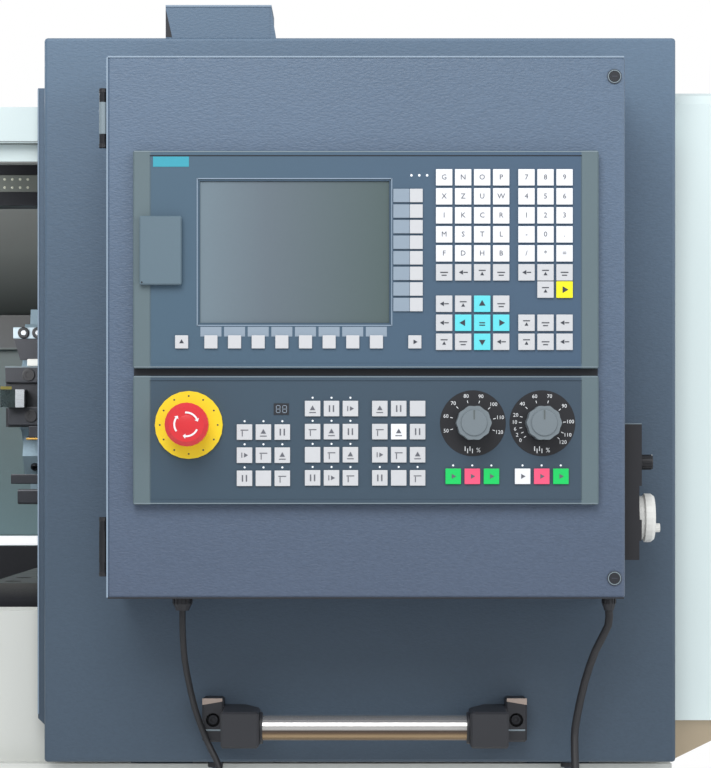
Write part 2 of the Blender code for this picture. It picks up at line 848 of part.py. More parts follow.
bed_left = machine_left + BED_LEFT_INSET
bed_right = machine_right - BED_RIGHT_INSET
bed_front_y = spindle_y - BED_WIDTH / 2
bed_back_y = spindle_y + BED_WIDTH / 2
screw_y = bed_front_y - SCREW_CLEAR_BED - NUT_SIDE / 2 + BED_WAIST
screw_z = bed_top - SCREW_DROP - NUT_SIDE / 2
saddle_left = opening_right - SADDLE_LEFT_SHOW
saddle_right = saddle_left + SADDLE_LENGTH
servo_right = opening_left - HEADSTOCK_TO_WALL


def mirrored(half):
    # A closed outline from its right half, listed top to bottom.
    return half + [(2 * spindle_y - y, z) for y, z in reversed(half)]


def bed():
    half_width = BED_WIDTH / 2
    web_top = bed_bottom + BED_HEIGHT / 2
    outer = [
        (spindle_y + half_width - BED_FLANGE - WAY_WIDTH, bed_top),
        (spindle_y + half_width - BED_FLANGE, bed_top - WAY_HEIGHT),
        (spindle_y + half_width - BED_FLANGE + WAY_HEIGHT, bed_top),
        (spindle_y + half_width, bed_top),
        (spindle_y + half_width, bed_top - BED_FLANGE),
        (spindle_y + half_width - BED_WAIST, bed_top - BED_FLANGE - BED_WAIST),
        (spindle_y + half_width - BED_WAIST, bed_bottom + BED_FLANGE),
        (spindle_y + half_width, bed_bottom + BED_WAIST),
        (spindle_y + half_width, bed_bottom),
        (spindle_y + half_width - BED_WALL - BED_WAIST, bed_bottom),
        (spindle_y + half_width - BED_WALL - BED_WAIST, web_top - BED_WEB),
    ]
    inner = [
        (spindle_y + half_width - BED_WALL - BED_WAIST, web_top),
        (spindle_y + half_width - BED_WALL - BED_WAIST, bed_top - BED_FLANGE),
        (spindle_y + half_width - BED_FLANGE - WAY_WIDTH, bed_top - BED_WAIST),
    ]
    right = [inner[0], inner[1], inner[2]] + outer
    left = [(2 * spindle_y - y, z) for y, z in reversed(right)]
    body = section("bed", [right + left], bed_left, bed_right, cast_iron)
    span = (tray_flat_right - bed_left) / BED_WINDOWS
    inside = half_width - BED_WALL - BED_WAIST * 2
    windows = []
    for i in range(BED_WINDOWS):
        middle = bed_left + span * (i + 0.5)
        windows.append((
            (middle - BED_WINDOW_LENGTH / 2, spindle_y - inside, web_top - BED_WEB - OVERRUN),
            (middle + BED_WINDOW_LENGTH / 2, spindle_y + inside, web_top + OVERRUN),
        ))
    cut(body, boxes("bed_windows", windows))
    cut(body, box(
        "bed_overhang",
        (tray_flat_right - BASE_EDGE, bed_front_y - OVERRUN, bed_bottom - OVERRUN),
        (bed_right + OVERRUN, bed_back_y + OVERRUN, bed_top - BED_OVERHANG_HEIGHT),
    ))
    block_left = servo_right + GAP
    block = box(
        "screw_block",
        (block_left, screw_y - NUT_SIDE / 2, screw_z - NUT_SIDE / 2),
        (block_left + SCREW_BLOCK_LENGTH, bed_front_y + BED_WAIST + BED_WALL / 2, screw_z + NUT_SIDE / 2),
    )
    join(body, block)
    cut(body, cylinder(
        "screw_block_bore",
        bore(SCREW_RADIUS),
        (block_left - OVERRUN, screw_y, screw_z),
        (block_left + SCREW_BLOCK_LENGTH + OVERRUN, screw_y, screw_z),
        TURN_X,
    ))


# Casing

def casing():
    wall_left = opening_left - GAP
    head = shell(
        "headstock_cover",
        (machine_left, casing_y, casing_bottom),
        (wall_left, casing_back_y - GAP, casing_top),
        ("bottom",),
        CASING_SHEET,
        pale_paint,
        CASING_EDGE,
    )
    cut(head, cylinder(
        "nose_hole",
        NOSE_HOLE_RADIUS,
        (wall_left - CASING_SHEET - OVERRUN, spindle_y, spindle_z),
        (wall_left + OVERRUN, spindle_y, spindle_z),
        TURN_X,
    ))
    cut(head, box(
        "bed_passage",
        (wall_left - CASING_SHEET - OVERRUN, screw_y - NUT_SIDE / 2 - FREE_GAP, casing_bottom - OVERRUN),
        (wall_left + OVERRUN, bed_back_y + FREE_GAP, bed_top + FREE_GAP),
    ))
    louvres = []
    for i in range(LOUVRES):
        top = casing_top - LOUVRE_TOP - LOUVRE_PITCH * i
        louvres.append((
            (machine_left - OVERRUN, spindle_y - LOUVRE_WIDTH / 2, top - LOUVRE_HEIGHT),
            (machine_left + CASING_SHEET + OVERRUN, spindle_y + LOUVRE_WIDTH / 2, top),
        ))
    cut(head, boxes("louvres", louvres))
    shell(
        "tail_guard",
        (opening_right + GAP, casing_y, casing_bottom),
        (machine_right, casing_back_y - GAP, casing_top),
        ("bottom", "left"),
        CASING_SHEET,
        pale_paint,
        CASING_EDGE,
    )
    middle = CASING_SHEET / 2
    back = casing_back_y - WALL_BACK_ROOM
    ledge_top = casing_bottom + LEDGE_HEIGHT
    wall_top = ledge_top + BACK_WALL_HEIGHT
    roof = header_top - middle
    profile = [
        (back - LEDGE_DEPTH, casing_bottom),
        (back - LEDGE_DEPTH, ledge_top),
        (back, ledge_top),
        (back, wall_top),
        (back - BACK_FOLD, wall_top),
        (back - BACK_FOLD, wall_top + BACK_BAND),
        (back - BACK_FOLD - ROOF_SLOPE_RUN, roof),
        (casing_y + middle, roof),
        (casing_y + middle, opening_top + middle),
        (casing_y + HEADER_LIP, opening_top + middle),
    ]
    guard = folded("roof_guard", profile, opening_left, opening_right, CASING_SHEET, pale_paint)
    cover_back = casing_back_y - CASING_SHEET - middle
    cover = [
        (back - 2 * BACK_FOLD - ROOF_SLOPE_RUN, roof),
        (cover_back, roof),
        (cover_back, casing_bottom),
    ]
    join(guard, folded(
        "roof_cover", cover, opening_left + GAP, opening_right - GAP, CASING_SHEET * COVER_SHARE
    ))
    apron_bottom = tray_top - APRON_DROP
    outline = [
        (machine_left, apron_bottom),
        (door_right, apron_bottom),
        (door_right, tray_top),
        (opening_right, tray_top),
        (opening_right, opening_bottom),
        (opening_left, opening_bottom),
        (opening_left, tray_top),
        (machine_left, tray_top),
    ]
    apron = front_plate("front_apron", [outline], casing_y, casing_y + SHEET, pale_paint)
    join(apron, box(
        "sill",
        (opening_left, casing_y + SHEET / 2, opening_bottom - SHEET),
        (opening_right, casing_y + SILL_DEPTH, opening_bottom),
    ))


def rails():
    rail_y = casing_y - RAIL_TO_CASING
    start = opening_left - DOOR_LAP
    rail = box(
        "top_rail",
        (start, rail_y - RAIL_THICKNESS, header_top - RAIL_HEIGHT),
        (door_right, rail_y, header_top),
        pale_paint,
    )
    pitch = (door_right - start) / RAIL_SPACERS
    spacers = []
    for i in range(RAIL_SPACERS):
        x = start + pitch * (i + 0.5)
        spacers.append((
            (x, rail_y - RAIL_THICKNESS / 2, header_top - RAIL_HEIGHT),
            (x + RAIL_SPACER_SIZE, casing_y - GAP, header_top - RAIL_HEIGHT + RAIL_SPACER_SIZE),
        ))
    join(rail, boxes("rail_spacers", spacers))
    top = door_bottom - GUIDE_SINK
    guide = box(
        "lower_guide",
        (start, casing_y - GAP - GUIDE_DEPTH, top - GUIDE_HEIGHT),
        (door_right, casing_y - GAP, top),
        pale_paint,
    )
    slot = TONGUE_THICKNESS + 2 * GAP
    tongue_y = casing_y - GUIDE_DEPTH / 2
    cut(guide, box(
        "guide_slot",
        (start - OVERRUN, tongue_y - slot / 2, top - GUIDE_SLOT_DEPTH),
        (door_right + OVERRUN, tongue_y + slot / 2, top + OVERRUN),
    ))


def work_lamp():
    left = (opening_left + opening_right - LAMP_LENGTH) / 2
    right = left + LAMP_LENGTH
    front = casing_y + LAMP_SET_BACK
    top = header_top - LAMP_DROP
    lamp = box(
        "work_lamp",
        (left, front, top - LAMP_HEIGHT),
        (right, front + LAMP_DEPTH, top),
        dark_steel,
    )
    middle = top - LAMP_HEIGHT / 2
    groove = box(
        "lamp_groove",
        (left + LAMP_TUBE_RADIUS, front - OVERRUN, middle - LAMP_TUBE_RADIUS),
        (right - LAMP_TUBE_RADIUS, front + LAMP_TUBE_RADIUS, middle + LAMP_TUBE_RADIUS),
    )
    cut(lamp, groove)
    join(lamp, cylinder(
        "lamp_tube",
        LAMP_TUBE_RADIUS - GAP,
        (left + LAMP_TUBE_RADIUS / 2, front + LAMP_TUBE_RADIUS, middle),
        (right - LAMP_TUBE_RADIUS / 2, front + LAMP_TUBE_RADIUS, middle),
        TURN_X,
        None,
        SMALL_STEPS,
    ))
    for i, x in enumerate((left + LAMP_ARM, right - 2 * LAMP_ARM)):
        join(lamp, box(
            "lamp_arm_%d" % i,
            (x, front + LAMP_DEPTH / 2, top - OVERRUN),
            (x + LAMP_ARM, front + LAMP_DEPTH - OVERRUN, header_top - CASING_SHEET - GAP),
        ))


# Headstock, motor, spindle and chuck

head_right = opening_left - HEADSTOCK_TO_WALL
head_left = head_right - HEADSTOCK_LENGTH
chuck_left = opening_left + CHUCK_TO_WALL
chuck_right = chuck_left + CHUCK_LENGTH
spindle_axis = (0.0, spindle_y, spindle_z)


def headstock():
    body = box(
        "headstock",
        (head_left, spindle_y - HEADSTOCK_WIDTH / 2, bed_top + GAP),
        (head_right, spindle_y + HEADSTOCK_WIDTH / 2, spindle_z + HEADSTOCK_ABOVE),
        cast_iron,
    )
    bevel(body, HEADSTOCK_EDGE, 2)
    cut(body, cylinder(
        "headstock_bore",
        bore(SPINDLE_RADIUS, FINE_STEPS),
        (head_left - OVERRUN, spindle_y, spindle_z),
        (head_right + OVERRUN, spindle_y, spindle_z),
        TURN_X,
        None,
        FINE_STEPS,
    ))
    right = head_left - GAP
    left = right - MOTOR_LENGTH
    pitch = MOTOR_LENGTH / (2 * MOTOR_FINS + 1)
    outer = [(MOTOR_RADIUS, right)]
    for i in range(MOTOR_FINS):
        start = right - pitch * (2 * i + 1)
        outer.append((MOTOR_RADIUS, start))
        outer.append((MOTOR_RADIUS - MOTOR_FIN_DEPTH, start))
        outer.append((MOTOR_RADIUS - MOTOR_FIN_DEPTH, start - pitch))
        outer.append((MOTOR_RADIUS, start - pitch))
    outer.append((MOTOR_RADIUS, left))
    inner = bore(SPINDLE_RADIUS)
    profile = outer + [(inner, left), (inner, right)]
    turned("spindle_motor", profile, spindle_axis, TURN_X, blue_grey_paint, ROUND_STEPS, True)
    nose = chuck_left - GAP
    tail = left - SPINDLE_TAIL
    profile = [
        (SPINDLE_NOSE_RADIUS, nose),
        (SPINDLE_NOSE_RADIUS, nose - SPINDLE_NOSE_LENGTH + CHUCK_TO_WALL),
        (SPINDLE_RADIUS, nose - SPINDLE_NOSE_LENGTH + CHUCK_TO_WALL),
        (SPINDLE_RADIUS, tail),
        (SPINDLE_BORE, tail),
        (SPINDLE_BORE, nose),
    ]
    spindle = turned("spindle", profile, spindle_axis, TURN_X, ground_steel, FINE_STEPS, True)
    profile = [
        (CHUCK_RADIUS - CHUCK_EDGE, chuck_right),
        (CHUCK_RADIUS, chuck_right - CHUCK_EDGE),
        (CHUCK_RADIUS, chuck_left + CHUCK_EDGE),
        (CHUCK_RADIUS - CHUCK_EDGE, chuck_left),
        (CHUCK_BORE, chuck_left),
        (CHUCK_BORE, chuck_right),
    ]
    chuck = turned("chuck_body", profile, spindle_axis, TURN_X, ground_steel, FINE_STEPS, True)
    turning = pivot("spindle_pivot", spindle_axis, spindle, chuck)
    floor = chuck_right - JAW_SLOT_DEPTH
    for i in range(JAWS):
        turn = 2 * math.pi * i / JAWS
        slot = box(
            "jaw_slot_%d" % (i + 1),
            (floor, -JAW_WIDTH / 2 - GAP, 0.0),
            (chuck_right + OVERRUN, JAW_WIDTH / 2 + GAP, CHUCK_RADIUS + OVERRUN),
        )
        slot.location = spindle_axis
        slot.rotation_euler = (turn, 0.0, 0.0)
        cut(chuck, slot)
        outline = [(floor + GAP, JAW_INNER), (floor + GAP, JAW_OUTER)]
        run, rise = chuck_right, JAW_OUTER
        for _ in range(JAWS):
            run += JAW_STEP_RUN
            outline += [(run, rise), (run, rise - JAW_STEP_RISE)]
            rise -= JAW_STEP_RISE
        outline.append((run, JAW_INNER))
        jaw = add_object("chuck_jaw_%d" % (i + 1), outline_mesh("jaw", [outline], JAW_WIDTH), dark_steel)
        jaw.data.transform(Matrix.Rotation(math.pi / 2, 4, "X"))
        jaw.location = spindle_axis
        jaw.rotation_euler = (turn, 0.0, 0.0)
        carry(turning, jaw)


# Carriage, cross slide and turret

saddle_bottom = bed_top + GAP
saddle_top = saddle_bottom + SADDLE_THICKNESS
saddle_front_y = casing_y + SADDLE_FRONT
saddle_back_y = saddle_front_y + SADDLE_DEPTH
slide_right = saddle_right - SLIDE_FROM_RIGHT
slide_left = slide_right - SLIDE_WIDTH
slide_front_y = saddle_front_y + SLIDE_SET_BACK
slide_top = saddle_top + GAP + SLIDE_HEIGHT
dovetail_x = (slide_left + slide_right) / 2
turret_left = opening_right - TURRET_LEFT_SHOW
turret_right = turret_left + TURRET_THICKNESS


def dovetail(base, top, clearance):
    half = DOVETAIL_WIDTH / 2 + clearance
    return [
        (dovetail_x - half + DOVETAIL_UNDERCUT, base),
        (dovetail_x + half - DOVETAIL_UNDERCUT, base),
        (dovetail_x + half, top),
        (dovetail_x - half, top),
    ]


def saddle():
    outline = [
        (saddle_left, saddle_front_y),
        (saddle_right, saddle_front_y),
        (saddle_right, saddle_back_y),
        (saddle_left + SADDLE_CORNER, saddle_back_y),
        (saddle_left, saddle_back_y - 2 * SADDLE_CORNER),
    ]
    body = floor_plate("saddle", [outline], saddle_bottom, saddle_top, dark_steel)
    keepers = []
    for near, far in (
        (bed_front_y - GAP - SADDLE_KEEPER, bed_front_y - GAP),
        (bed_back_y + GAP, bed_back_y + GAP + SADDLE_KEEPER),
    ):
        keepers.append((
            (saddle_left + SADDLE_CORNER, near, saddle_bottom - SADDLE_KEEPER_DROP),
            (saddle_right - SADDLE_CORNER, far, saddle_bottom + OVERRUN),
        ))
    join(body, boxes("saddle_keepers", keepers))
    nut_left = (saddle_left + saddle_right - NUT_LENGTH) / 2
    nut = box(
        "screw_nut",
        (nut_left, screw_y - NUT_SIDE / 2, screw_z - NUT_SIDE / 2),
        (nut_left + NUT_LENGTH, bed_front_y - FREE_GAP, saddle_bottom + OVERRUN),
    )
    join(body, nut)
    cut(body, cylinder(
        "nut_bore",
        bore(SCREW_RADIUS),
        (saddle_left - OVERRUN, screw_y, screw_z),
        (saddle_right + OVERRUN, screw_y, screw_z),
        TURN_X,
    ))
    guide = dovetail(saddle_top - OVERRUN, saddle_top + DOVETAIL_HEIGHT, 0.0)
    join(body, front_plate("dovetail_guide", [guide], slide_front_y, saddle_back_y - OVERRUN))
    for i, x in enumerate((saddle_left + SADDLE_CORNER / 2, saddle_left + 3 * SADDLE_CORNER / 2)):
        for j in range(2):
            y = saddle_front_y + SADDLE_CORNER * (1 + 2 * j)
            cut(body, cylinder(
                "saddle_screw_%d_%d" % (i, j),
                SADDLE_SCREW_RADIUS,
                (x, y, saddle_top - SADDLE_SCREW_DEPTH),
                (x, y, saddle_top + OVERRUN),
                TURN_UP,
                None,
                SMALL_STEPS,
            ))
    return body


def cross_slide():
    low = saddle_top + GAP
    groove = dovetail(low - OVERRUN, saddle_top + DOVETAIL_HEIGHT + GAP, 2 * GAP)
    groove_cutter = front_plate(
        "dovetail_groove", [groove], slide_front_y - OVERRUN, slide_front_y + SLIDE_DEPTH + OVERRUN
    )
    slide = box(
        "cross_slide",
        (slide_left, slide_front_y, low),
        (slide_right, slide_front_y + SLIDE_DEPTH, slide_top),
        ground_steel,
    )
    cut(slide, groove_cutter)
    left = turret_right + TURRET_NECK_LENGTH + GAP
    housing = box(
        "turret_housing",
        (left, turret_y - HOUSING_WIDTH / 2, slide_top + GAP),
        (left + HOUSING_LENGTH, turret_y + HOUSING_WIDTH / 2, spindle_z + HOUSING_ABOVE),
        pale_paint,
    )
    bevel(housing, HOUSING_EDGE, 2)
    return slide, housing


def turret():
    half = TURRET_FLAT / math.cos(math.pi / TURRET_STATIONS)
    disc = cylinder(
        "turret_disc",
        half,
        (turret_left, turret_y, spindle_z),
        (turret_right, turret_y, spindle_z),
        TURN_X,
        turret_blue,
        TURRET_STATIONS,
    )
    disc.data.transform(Matrix.Rotation(math.pi / TURRET_STATIONS, 4, "Z"))
    join(disc, cylinder(
        "turret_neck",
        TURRET_NECK_RADIUS,
        (turret_right - OVERRUN, turret_y, spindle_z),
        (turret_right + TURRET_NECK_LENGTH, turret_y, spindle_z),
        TURN_X,
    ))
    clamp = [
        (-CLAMP_HEIGHT / 2, TURRET_FLAT - OVERRUN),
        (CLAMP_HEIGHT / 2, TURRET_FLAT - OVERRUN),
        (CLAMP_HEIGHT / 2 - CLAMP_TAPER, TURRET_FLAT + CLAMP_DEPTH),
        (CLAMP_TAPER - CLAMP_HEIGHT / 2, TURRET_FLAT + CLAMP_DEPTH),
    ]
    length = TURRET_THICKNESS - 2 * OVERRUN
    for i in range(1, TURRET_STATIONS):
        # Local u lies across the station, v points outwards; station 0 faces the operator.
        turn = 2 * math.pi * i / TURRET_STATIONS
        block = add_object("clamp_%d" % i, outline_mesh("clamp", [clamp], length), None)
        block.data.transform(Matrix.Rotation(math.pi / 2, 4, "X"))
        block.data.transform(Matrix.Rotation(math.pi / 2, 4, "Z"))
        block.location = ((turret_left + turret_right) / 2, turret_y, spindle_z)
        block.rotation_euler = (math.pi / 2 + turn, 0.0, 0.0)
        join(disc, block)
    front = turret_y - TURRET_FLAT - GAP
    left = turret_left - BLOCK_OVERHANG
    holder = box(
        "tool_block",
        (left, front - BLOCK_DEPTH, spindle_z - BLOCK_HEIGHT / 2),
        (turret_right, front, spindle_z + BLOCK_HEIGHT / 2),
        dark_steel,
    )
    slot_half = BLOCK_SLOT / 2
    cut(holder, box(
        "tool_slot",
        (left - OVERRUN, front - BLOCK_DEPTH - OVERRUN, spindle_z - slot_half),
        (left + BLOCK_SLOT_DEPTH, front + OVERRUN, spindle_z + slot_half),
    ))
    shank_half = TOOL_SHANK / 2
    shank_front = front - BLOCK_DEPTH - TOOL_STICK_OUT
    tool_right = left + BLOCK_SLOT_DEPTH - GAP
    outline = [
        (tool_right, front),
        (tool_right, shank_front + TOOL_INSERT),
        (tool_right - TOOL_INSERT, shank_front + TOOL_INSERT),
        (tool_right - TOOL_SHANK - TOOL_INSERT / 2, shank_front),
        (tool_right - TOOL_SHANK, shank_front + TOOL_INSERT),
        (tool_right - TOOL_SHANK, front),
    ]
    tool = floor_plate("turning_tool", [outline], spindle_z - shank_half, spindle_z + shank_half, ground_steel)
    return disc, holder, tool


def z_drive():
    screw = cylinder(
        "ball_screw",
        SCREW_RADIUS,
        (servo_right - SERVO_BORE, screw_y, screw_z),
        (machine_right - BED_RIGHT_INSET * 2, screw_y, screw_z),
        TURN_X,
        ground_steel,
    )
    screw_origin = (servo_right, screw_y, screw_z)
    pivot("screw_pivot", screw_origin, screw)
    motor = box(
        "z_servo_motor",
        (servo_right - SERVO_LENGTH, screw_y - SERVO_SIDE / 2, screw_z - SERVO_SIDE / 2),
        (servo_right, screw_y + SERVO_SIDE / 2 - BED_WAIST, screw_z + SERVO_SIDE / 2),
        dark_steel,
    )
    bevel(motor, SERVO_BORE / 2)
    cut(motor, cylinder(
        "servo_bore",
        bore(SCREW_RADIUS),
        (servo_right - SERVO_BORE - GAP, screw_y, screw_z),
        (servo_right + OVERRUN, screw_y, screw_z),
        TURN_X,
    ))


# Tailstock

tail_left = saddle_right + TAILSTOCK_CLEAR


def tailstock():
    right = tail_left + TAILSTOCK_LENGTH
    half = TAILSTOCK_WIDTH / 2
    waist = TAILSTOCK_WAIST / 2
    low = bed_top + GAP
    outline = mirrored([
        (spindle_y + BARREL_RADIUS * 0.8, spindle_z),
        (spindle_y + waist, low + 2 * TAILSTOCK_BASE),
        (spindle_y + half, low + TAILSTOCK_BASE),
        (spindle_y + half, low),
    ])
    body = section("tailstock", [outline], tail_left, right, pale_paint)
    barrel_left = tail_left - (BARREL_LENGTH - TAILSTOCK_LENGTH) / 2
    barrel_right = barrel_left + BARREL_LENGTH
    join(body, cylinder(
        "tailstock_barrel",
        BARREL_RADIUS,
        (barrel_left, spindle_y, spindle_z),
        (barrel_right, spindle_y, spindle_z),
        TURN_X,
    ))
    cut(body, cylinder(
        "quill_bore",
        bore(QUILL_RADIUS),
        (barrel_left - OVERRUN, spindle_y, spindle_z),
        (barrel_right + OVERRUN, spindle_y, spindle_z),
        TURN_X,
    ))
    quill_left = barrel_left - QUILL_OUT
    quill = turned(
        "tailstock_quill",
        [
            (QUILL_RADIUS, quill_left + QUILL_LENGTH),
            (QUILL_RADIUS, quill_left),
            (bore(CENTRE_SHANK_RADIUS), quill_left),
            (bore(CENTRE_SHANK_RADIUS), quill_left + QUILL_LENGTH),
        ],
        spindle_axis,
        TURN_X,
        polished_steel,
        ROUND_STEPS,
        True,
    )
    body_right = quill_left - GAP
    centre = turned(
        "live_centre",
        [
            (0.0, body_right + CENTRE_SHANK_LENGTH),
            (CENTRE_SHANK_RADIUS, body_right + CENTRE_SHANK_LENGTH),
            (CENTRE_SHANK_RADIUS, body_right),
            (CENTRE_RADIUS, body_right),
            (CENTRE_RADIUS, body_right - CENTRE_LENGTH + CENTRE_CONE),
            (0.0, body_right - CENTRE_LENGTH),
        ],
        spindle_axis,
        TURN_X,
        ground_steel,
    )
    cylinder_left = barrel_right + GAP
    ram = cylinder(
        "quill_cylinder",
        CYLINDER_RADIUS,
        (cylinder_left, spindle_y, spindle_z),
        (cylinder_left + CYLINDER_LENGTH, spindle_y, spindle_z),
        TURN_X,
        dark_steel,
    )
    join(ram, cylinder(
        "ram_flange",
        BARREL_RADIUS,
        (cylinder_left, spindle_y, spindle_z),
        (cylinder_left + CYLINDER_FLANGE, spindle_y, spindle_z),
        TURN_X,
    ))
    sliding = pivot("tailstock_slide", (tail_left, spindle_y, bed_top), body, ram)
    reach = pivot("quill_slide", (quill_left, spindle_y, spindle_z), quill)
    spin = pivot("centre_pivot", spindle_axis, centre)
    carry(sliding, reach)
    carry(reach, spin)


# Electrical cabinet

def electrical_cabinet():
    left, right = -CABINET_WIDTH / 2, CABINET_WIDTH / 2
    front = casing_back_y + GAP
    back = casing_back_y + CABINET_DEPTH
    low, high = CABINET_BOTTOM, CABINET_BOTTOM + CABINET_HEIGHT
    body = shell(
        "electrical_cabinet", (left, front, low), (right, back, high), ("back",), CASING_SHEET, cabinet_grey
    )
    first = -MODULE_PITCH * (MODULES - 1) / 2
    modules = []
    for i in range(MODULES):
        x = first + MODULE_PITCH * i
        modules.append((
            (x - MODULE_WIDTH / 2, front + SHEET / 2, (low + high - MODULE_HEIGHT) / 2),
            (x + MODULE_WIDTH / 2, front + MODULE_DEPTH, (low + high + MODULE_HEIGHT) / 2),
        ))
    join(body, boxes("drive_modules", modules))
    door = shell(
        "cabinet_door",
        (left, back + GAP, low),
        (right, machine_back_y, high),
        ("front",),
        CASING_SHEET,
        cabinet_grey,
    )
    catch_x = right - CATCH_SIDE
    middle = (low + high) / 2
    seat = machine_back_y - CATCH_SINK
    inner = seat - CATCH_SINK / 2
    join(door, box(
        "catch_seat",
        (catch_x - CATCH_SEAT, inner, middle - CATCH_SEAT),
        (catch_x + CATCH_SEAT, machine_back_y - CASING_SHEET / 2, middle + CATCH_SEAT),
    ))
    cut(door, cylinder(
        "catch_recess",
        bore(CATCH_RADIUS),
        (catch_x, seat, middle),
        (catch_x, machine_back_y + OVERRUN, middle),
        TURN_FRONT,
    ), cylinder(
        "catch_hole",
        bore(CATCH_STEM_RADIUS),
        (catch_x, inner - OVERRUN, middle),
        (catch_x, seat + OVERRUN, middle),
        TURN_FRONT,
    ))
    profile = [
        (0.0, machine_back_y - GAP),
        (CATCH_RADIUS, machine_back_y - GAP),
        (CATCH_RADIUS, seat + GAP),
        (CATCH_STEM_RADIUS, seat + GAP),
        (CATCH_STEM_RADIUS, inner - CATCH_SINK),
        (0.0, inner - CATCH_SINK),
    ]
    catch = turned("cabinet_catch", profile, (catch_x, 0.0, middle), TURN_BACK, black_plastic)
    cut(catch, box(
        "catch_slot",
        (catch_x - CATCH_SLOT / 2, machine_back_y - CATCH_SINK / 2, middle - CATCH_RADIUS / 2),
        (catch_x + CATCH_SLOT / 2, machine_back_y + OVERRUN, middle + CATCH_RADIUS / 2),
    ))
    hinge_place = (left - CABINET_PIN_RADIUS, machine_back_y, low)
    swing = pivot("cabinet_pivot", hinge_place, door)
    turn = pivot("catch_pivot", (catch_x, seat, middle), catch)
    carry(swing, turn)


# Door, with its handle

gland_y = plate_y + GLAND_SET_BACK
gland_left_x = plate_left + GLAND_LEFT_SHARE * plate_width
gland_right_x = plate_left + GLAND_RIGHT_SHARE * plate_width
grommet_y = door_y + DOOR_DEPTH / 2
handle_x = door_x + HANDLE_OFF_CENTRE
handle_z = door_bottom + HANDLE_HEIGHT
handle_y = door_y - HANDLE_STAND_OFF + HANDLE_BLOCK_DEPTH / 2

# The cables hang in loops below the box; these are their points from gland to door.
LEFT_ROUTE = (
    (0.4230, -0.5155, 0.9839), (0.4230, -0.5150, 0.9700), (0.4236, -0.5080, 0.9461),
    (0.4259, -0.4960, 0.9233), (0.4321, -0.4790, 0.8893), (0.4410, -0.4770, 0.8641),
    (0.4480, -0.4800, 0.8492), (0.4560, -0.4900, 0.8343), (0.4600, -0.5000, 0.8100),
    (0.4610, -0.5020, 0.7750), (0.4590, -0.4900, 0.7450), (0.4550, -0.4650, 0.7330),
    (0.4520, -0.4440, 0.7500), (0.4500, -0.4360, 0.7800), (0.4490, -0.4352, 0.8050),
    (0.4490, -0.4350, 0.8280),
)
RIGHT_ROUTE = (
    (0.8212, -0.5155, 0.9839), (0.8206, -0.5145, 0.9700), (0.8094, -0.5065, 0.9457),
    (0.8009, -0.4875, 0.9140), (0.7947, -0.4740, 0.8789), (0.7928, -0.4730, 0.8603),
    (0.7925, -0.4850, 0.8336), (0.7922, -0.4960, 0.8050), (0.7920, -0.5020, 0.7750),
    (0.7915, -0.4900, 0.7450), (0.7910, -0.4650, 0.7330), (0.7905, -0.4440, 0.7500),
    (0.7900, -0.4362, 0.7800), (0.7898, -0.4352, 0.8050), (0.7898, -0.4350, 0.8280),
)


def sliding_door():
    door = shell(
        "door_panel",
        (door_left, door_y, door_bottom),
        (door_right, door_back_y, door_top),
        ("back",),
        SHEET,
        blue_grey_paint,
        FOLD_RADIUS,
    )
    lip_low = door_bottom + LIP_BOTTOM_INSET
    lip_high = door_top - LIP_TOP_INSET
    outline = [
        (door_left - LIP_SHOW, lip_low + LIP_SHOW),
        (door_left, lip_low),
        (door_left + LIP_WIDTH, lip_low),
        (door_left + LIP_WIDTH, lip_high),
        (door_left - LIP_SHOW, lip_high),
    ]
    lip_front = door_back_y - SHEET / 2
    join(door, front_plate("door_lip", [outline], lip_front, lip_front + LIP_THICKNESS))
    rail_y = casing_y - RAIL_TO_CASING
    tongue_y = casing_y - GUIDE_DEPTH / 2
    for i, x in enumerate((door_left + SHOE_INSET, door_right - SHOE_INSET - SHOE_LENGTH)):
        join(door, box(
            "shoe_%d" % i,
            (x, door_y + SHEET / 2, header_top - SHOE_GRIP),
            (x + SHOE_LENGTH, casing_y - FREE_GAP, header_top - SHOE_GRIP + SHOE_HEIGHT),
        ))
        cut(door, box(
            "shoe_groove_%d" % i,
            (x - OVERRUN, rail_y - RAIL_THICKNESS - GAP, header_top - SHOE_GRIP - OVERRUN),
            (x + SHOE_LENGTH + OVERRUN, rail_y + GAP, header_top + GAP),
        ))
        join(door, box(
            "tongue_arm_%d" % i,
            (x, door_y + SHEET / 2, door_bottom + SHEET),
            (x + SHOE_LENGTH, tongue_y + TONGUE_THICKNESS / 2, door_bottom + SHEET + TONGUE_HEIGHT),
        ))
        join(door, box(
            "tongue_%d" % i,
            (x, tongue_y - TONGUE_THICKNESS / 2, door_bottom - TONGUE_DIP),
            (x + SHOE_LENGTH, tongue_y + TONGUE_THICKNESS / 2, door_bottom + SHEET + TONGUE_HEIGHT),
        ))
    for i, route in enumerate((LEFT_ROUTE, RIGHT_ROUTE)):
        x = route[-1][0]
        join(door, cylinder(
            "grommet_%d" % i,
            GROMMET_RADIUS,
            (x, grommet_y, door_bottom - GROMMET_HEIGHT),
            (x, grommet_y, door_bottom + SHEET / 2),
            TURN_UP,
            None,
            SMALL_STEPS,
        ))
    cover_left = door_left + SWITCH_COVER_LEFT
    cover_front = door_y + SWITCH_COVER_SET_BACK
    cover = shell(
        "switch_cover",
        (cover_left, cover_front, door_top + GAP),
        (cover_left + SWITCH_COVER_WIDTH, cover_front + SWITCH_COVER_DEPTH, door_top + GAP + SWITCH_COVER_HEIGHT),
        ("bottom", "left", "back"),
        SHEET,
        blue_grey_paint,
    )
    return door, cover


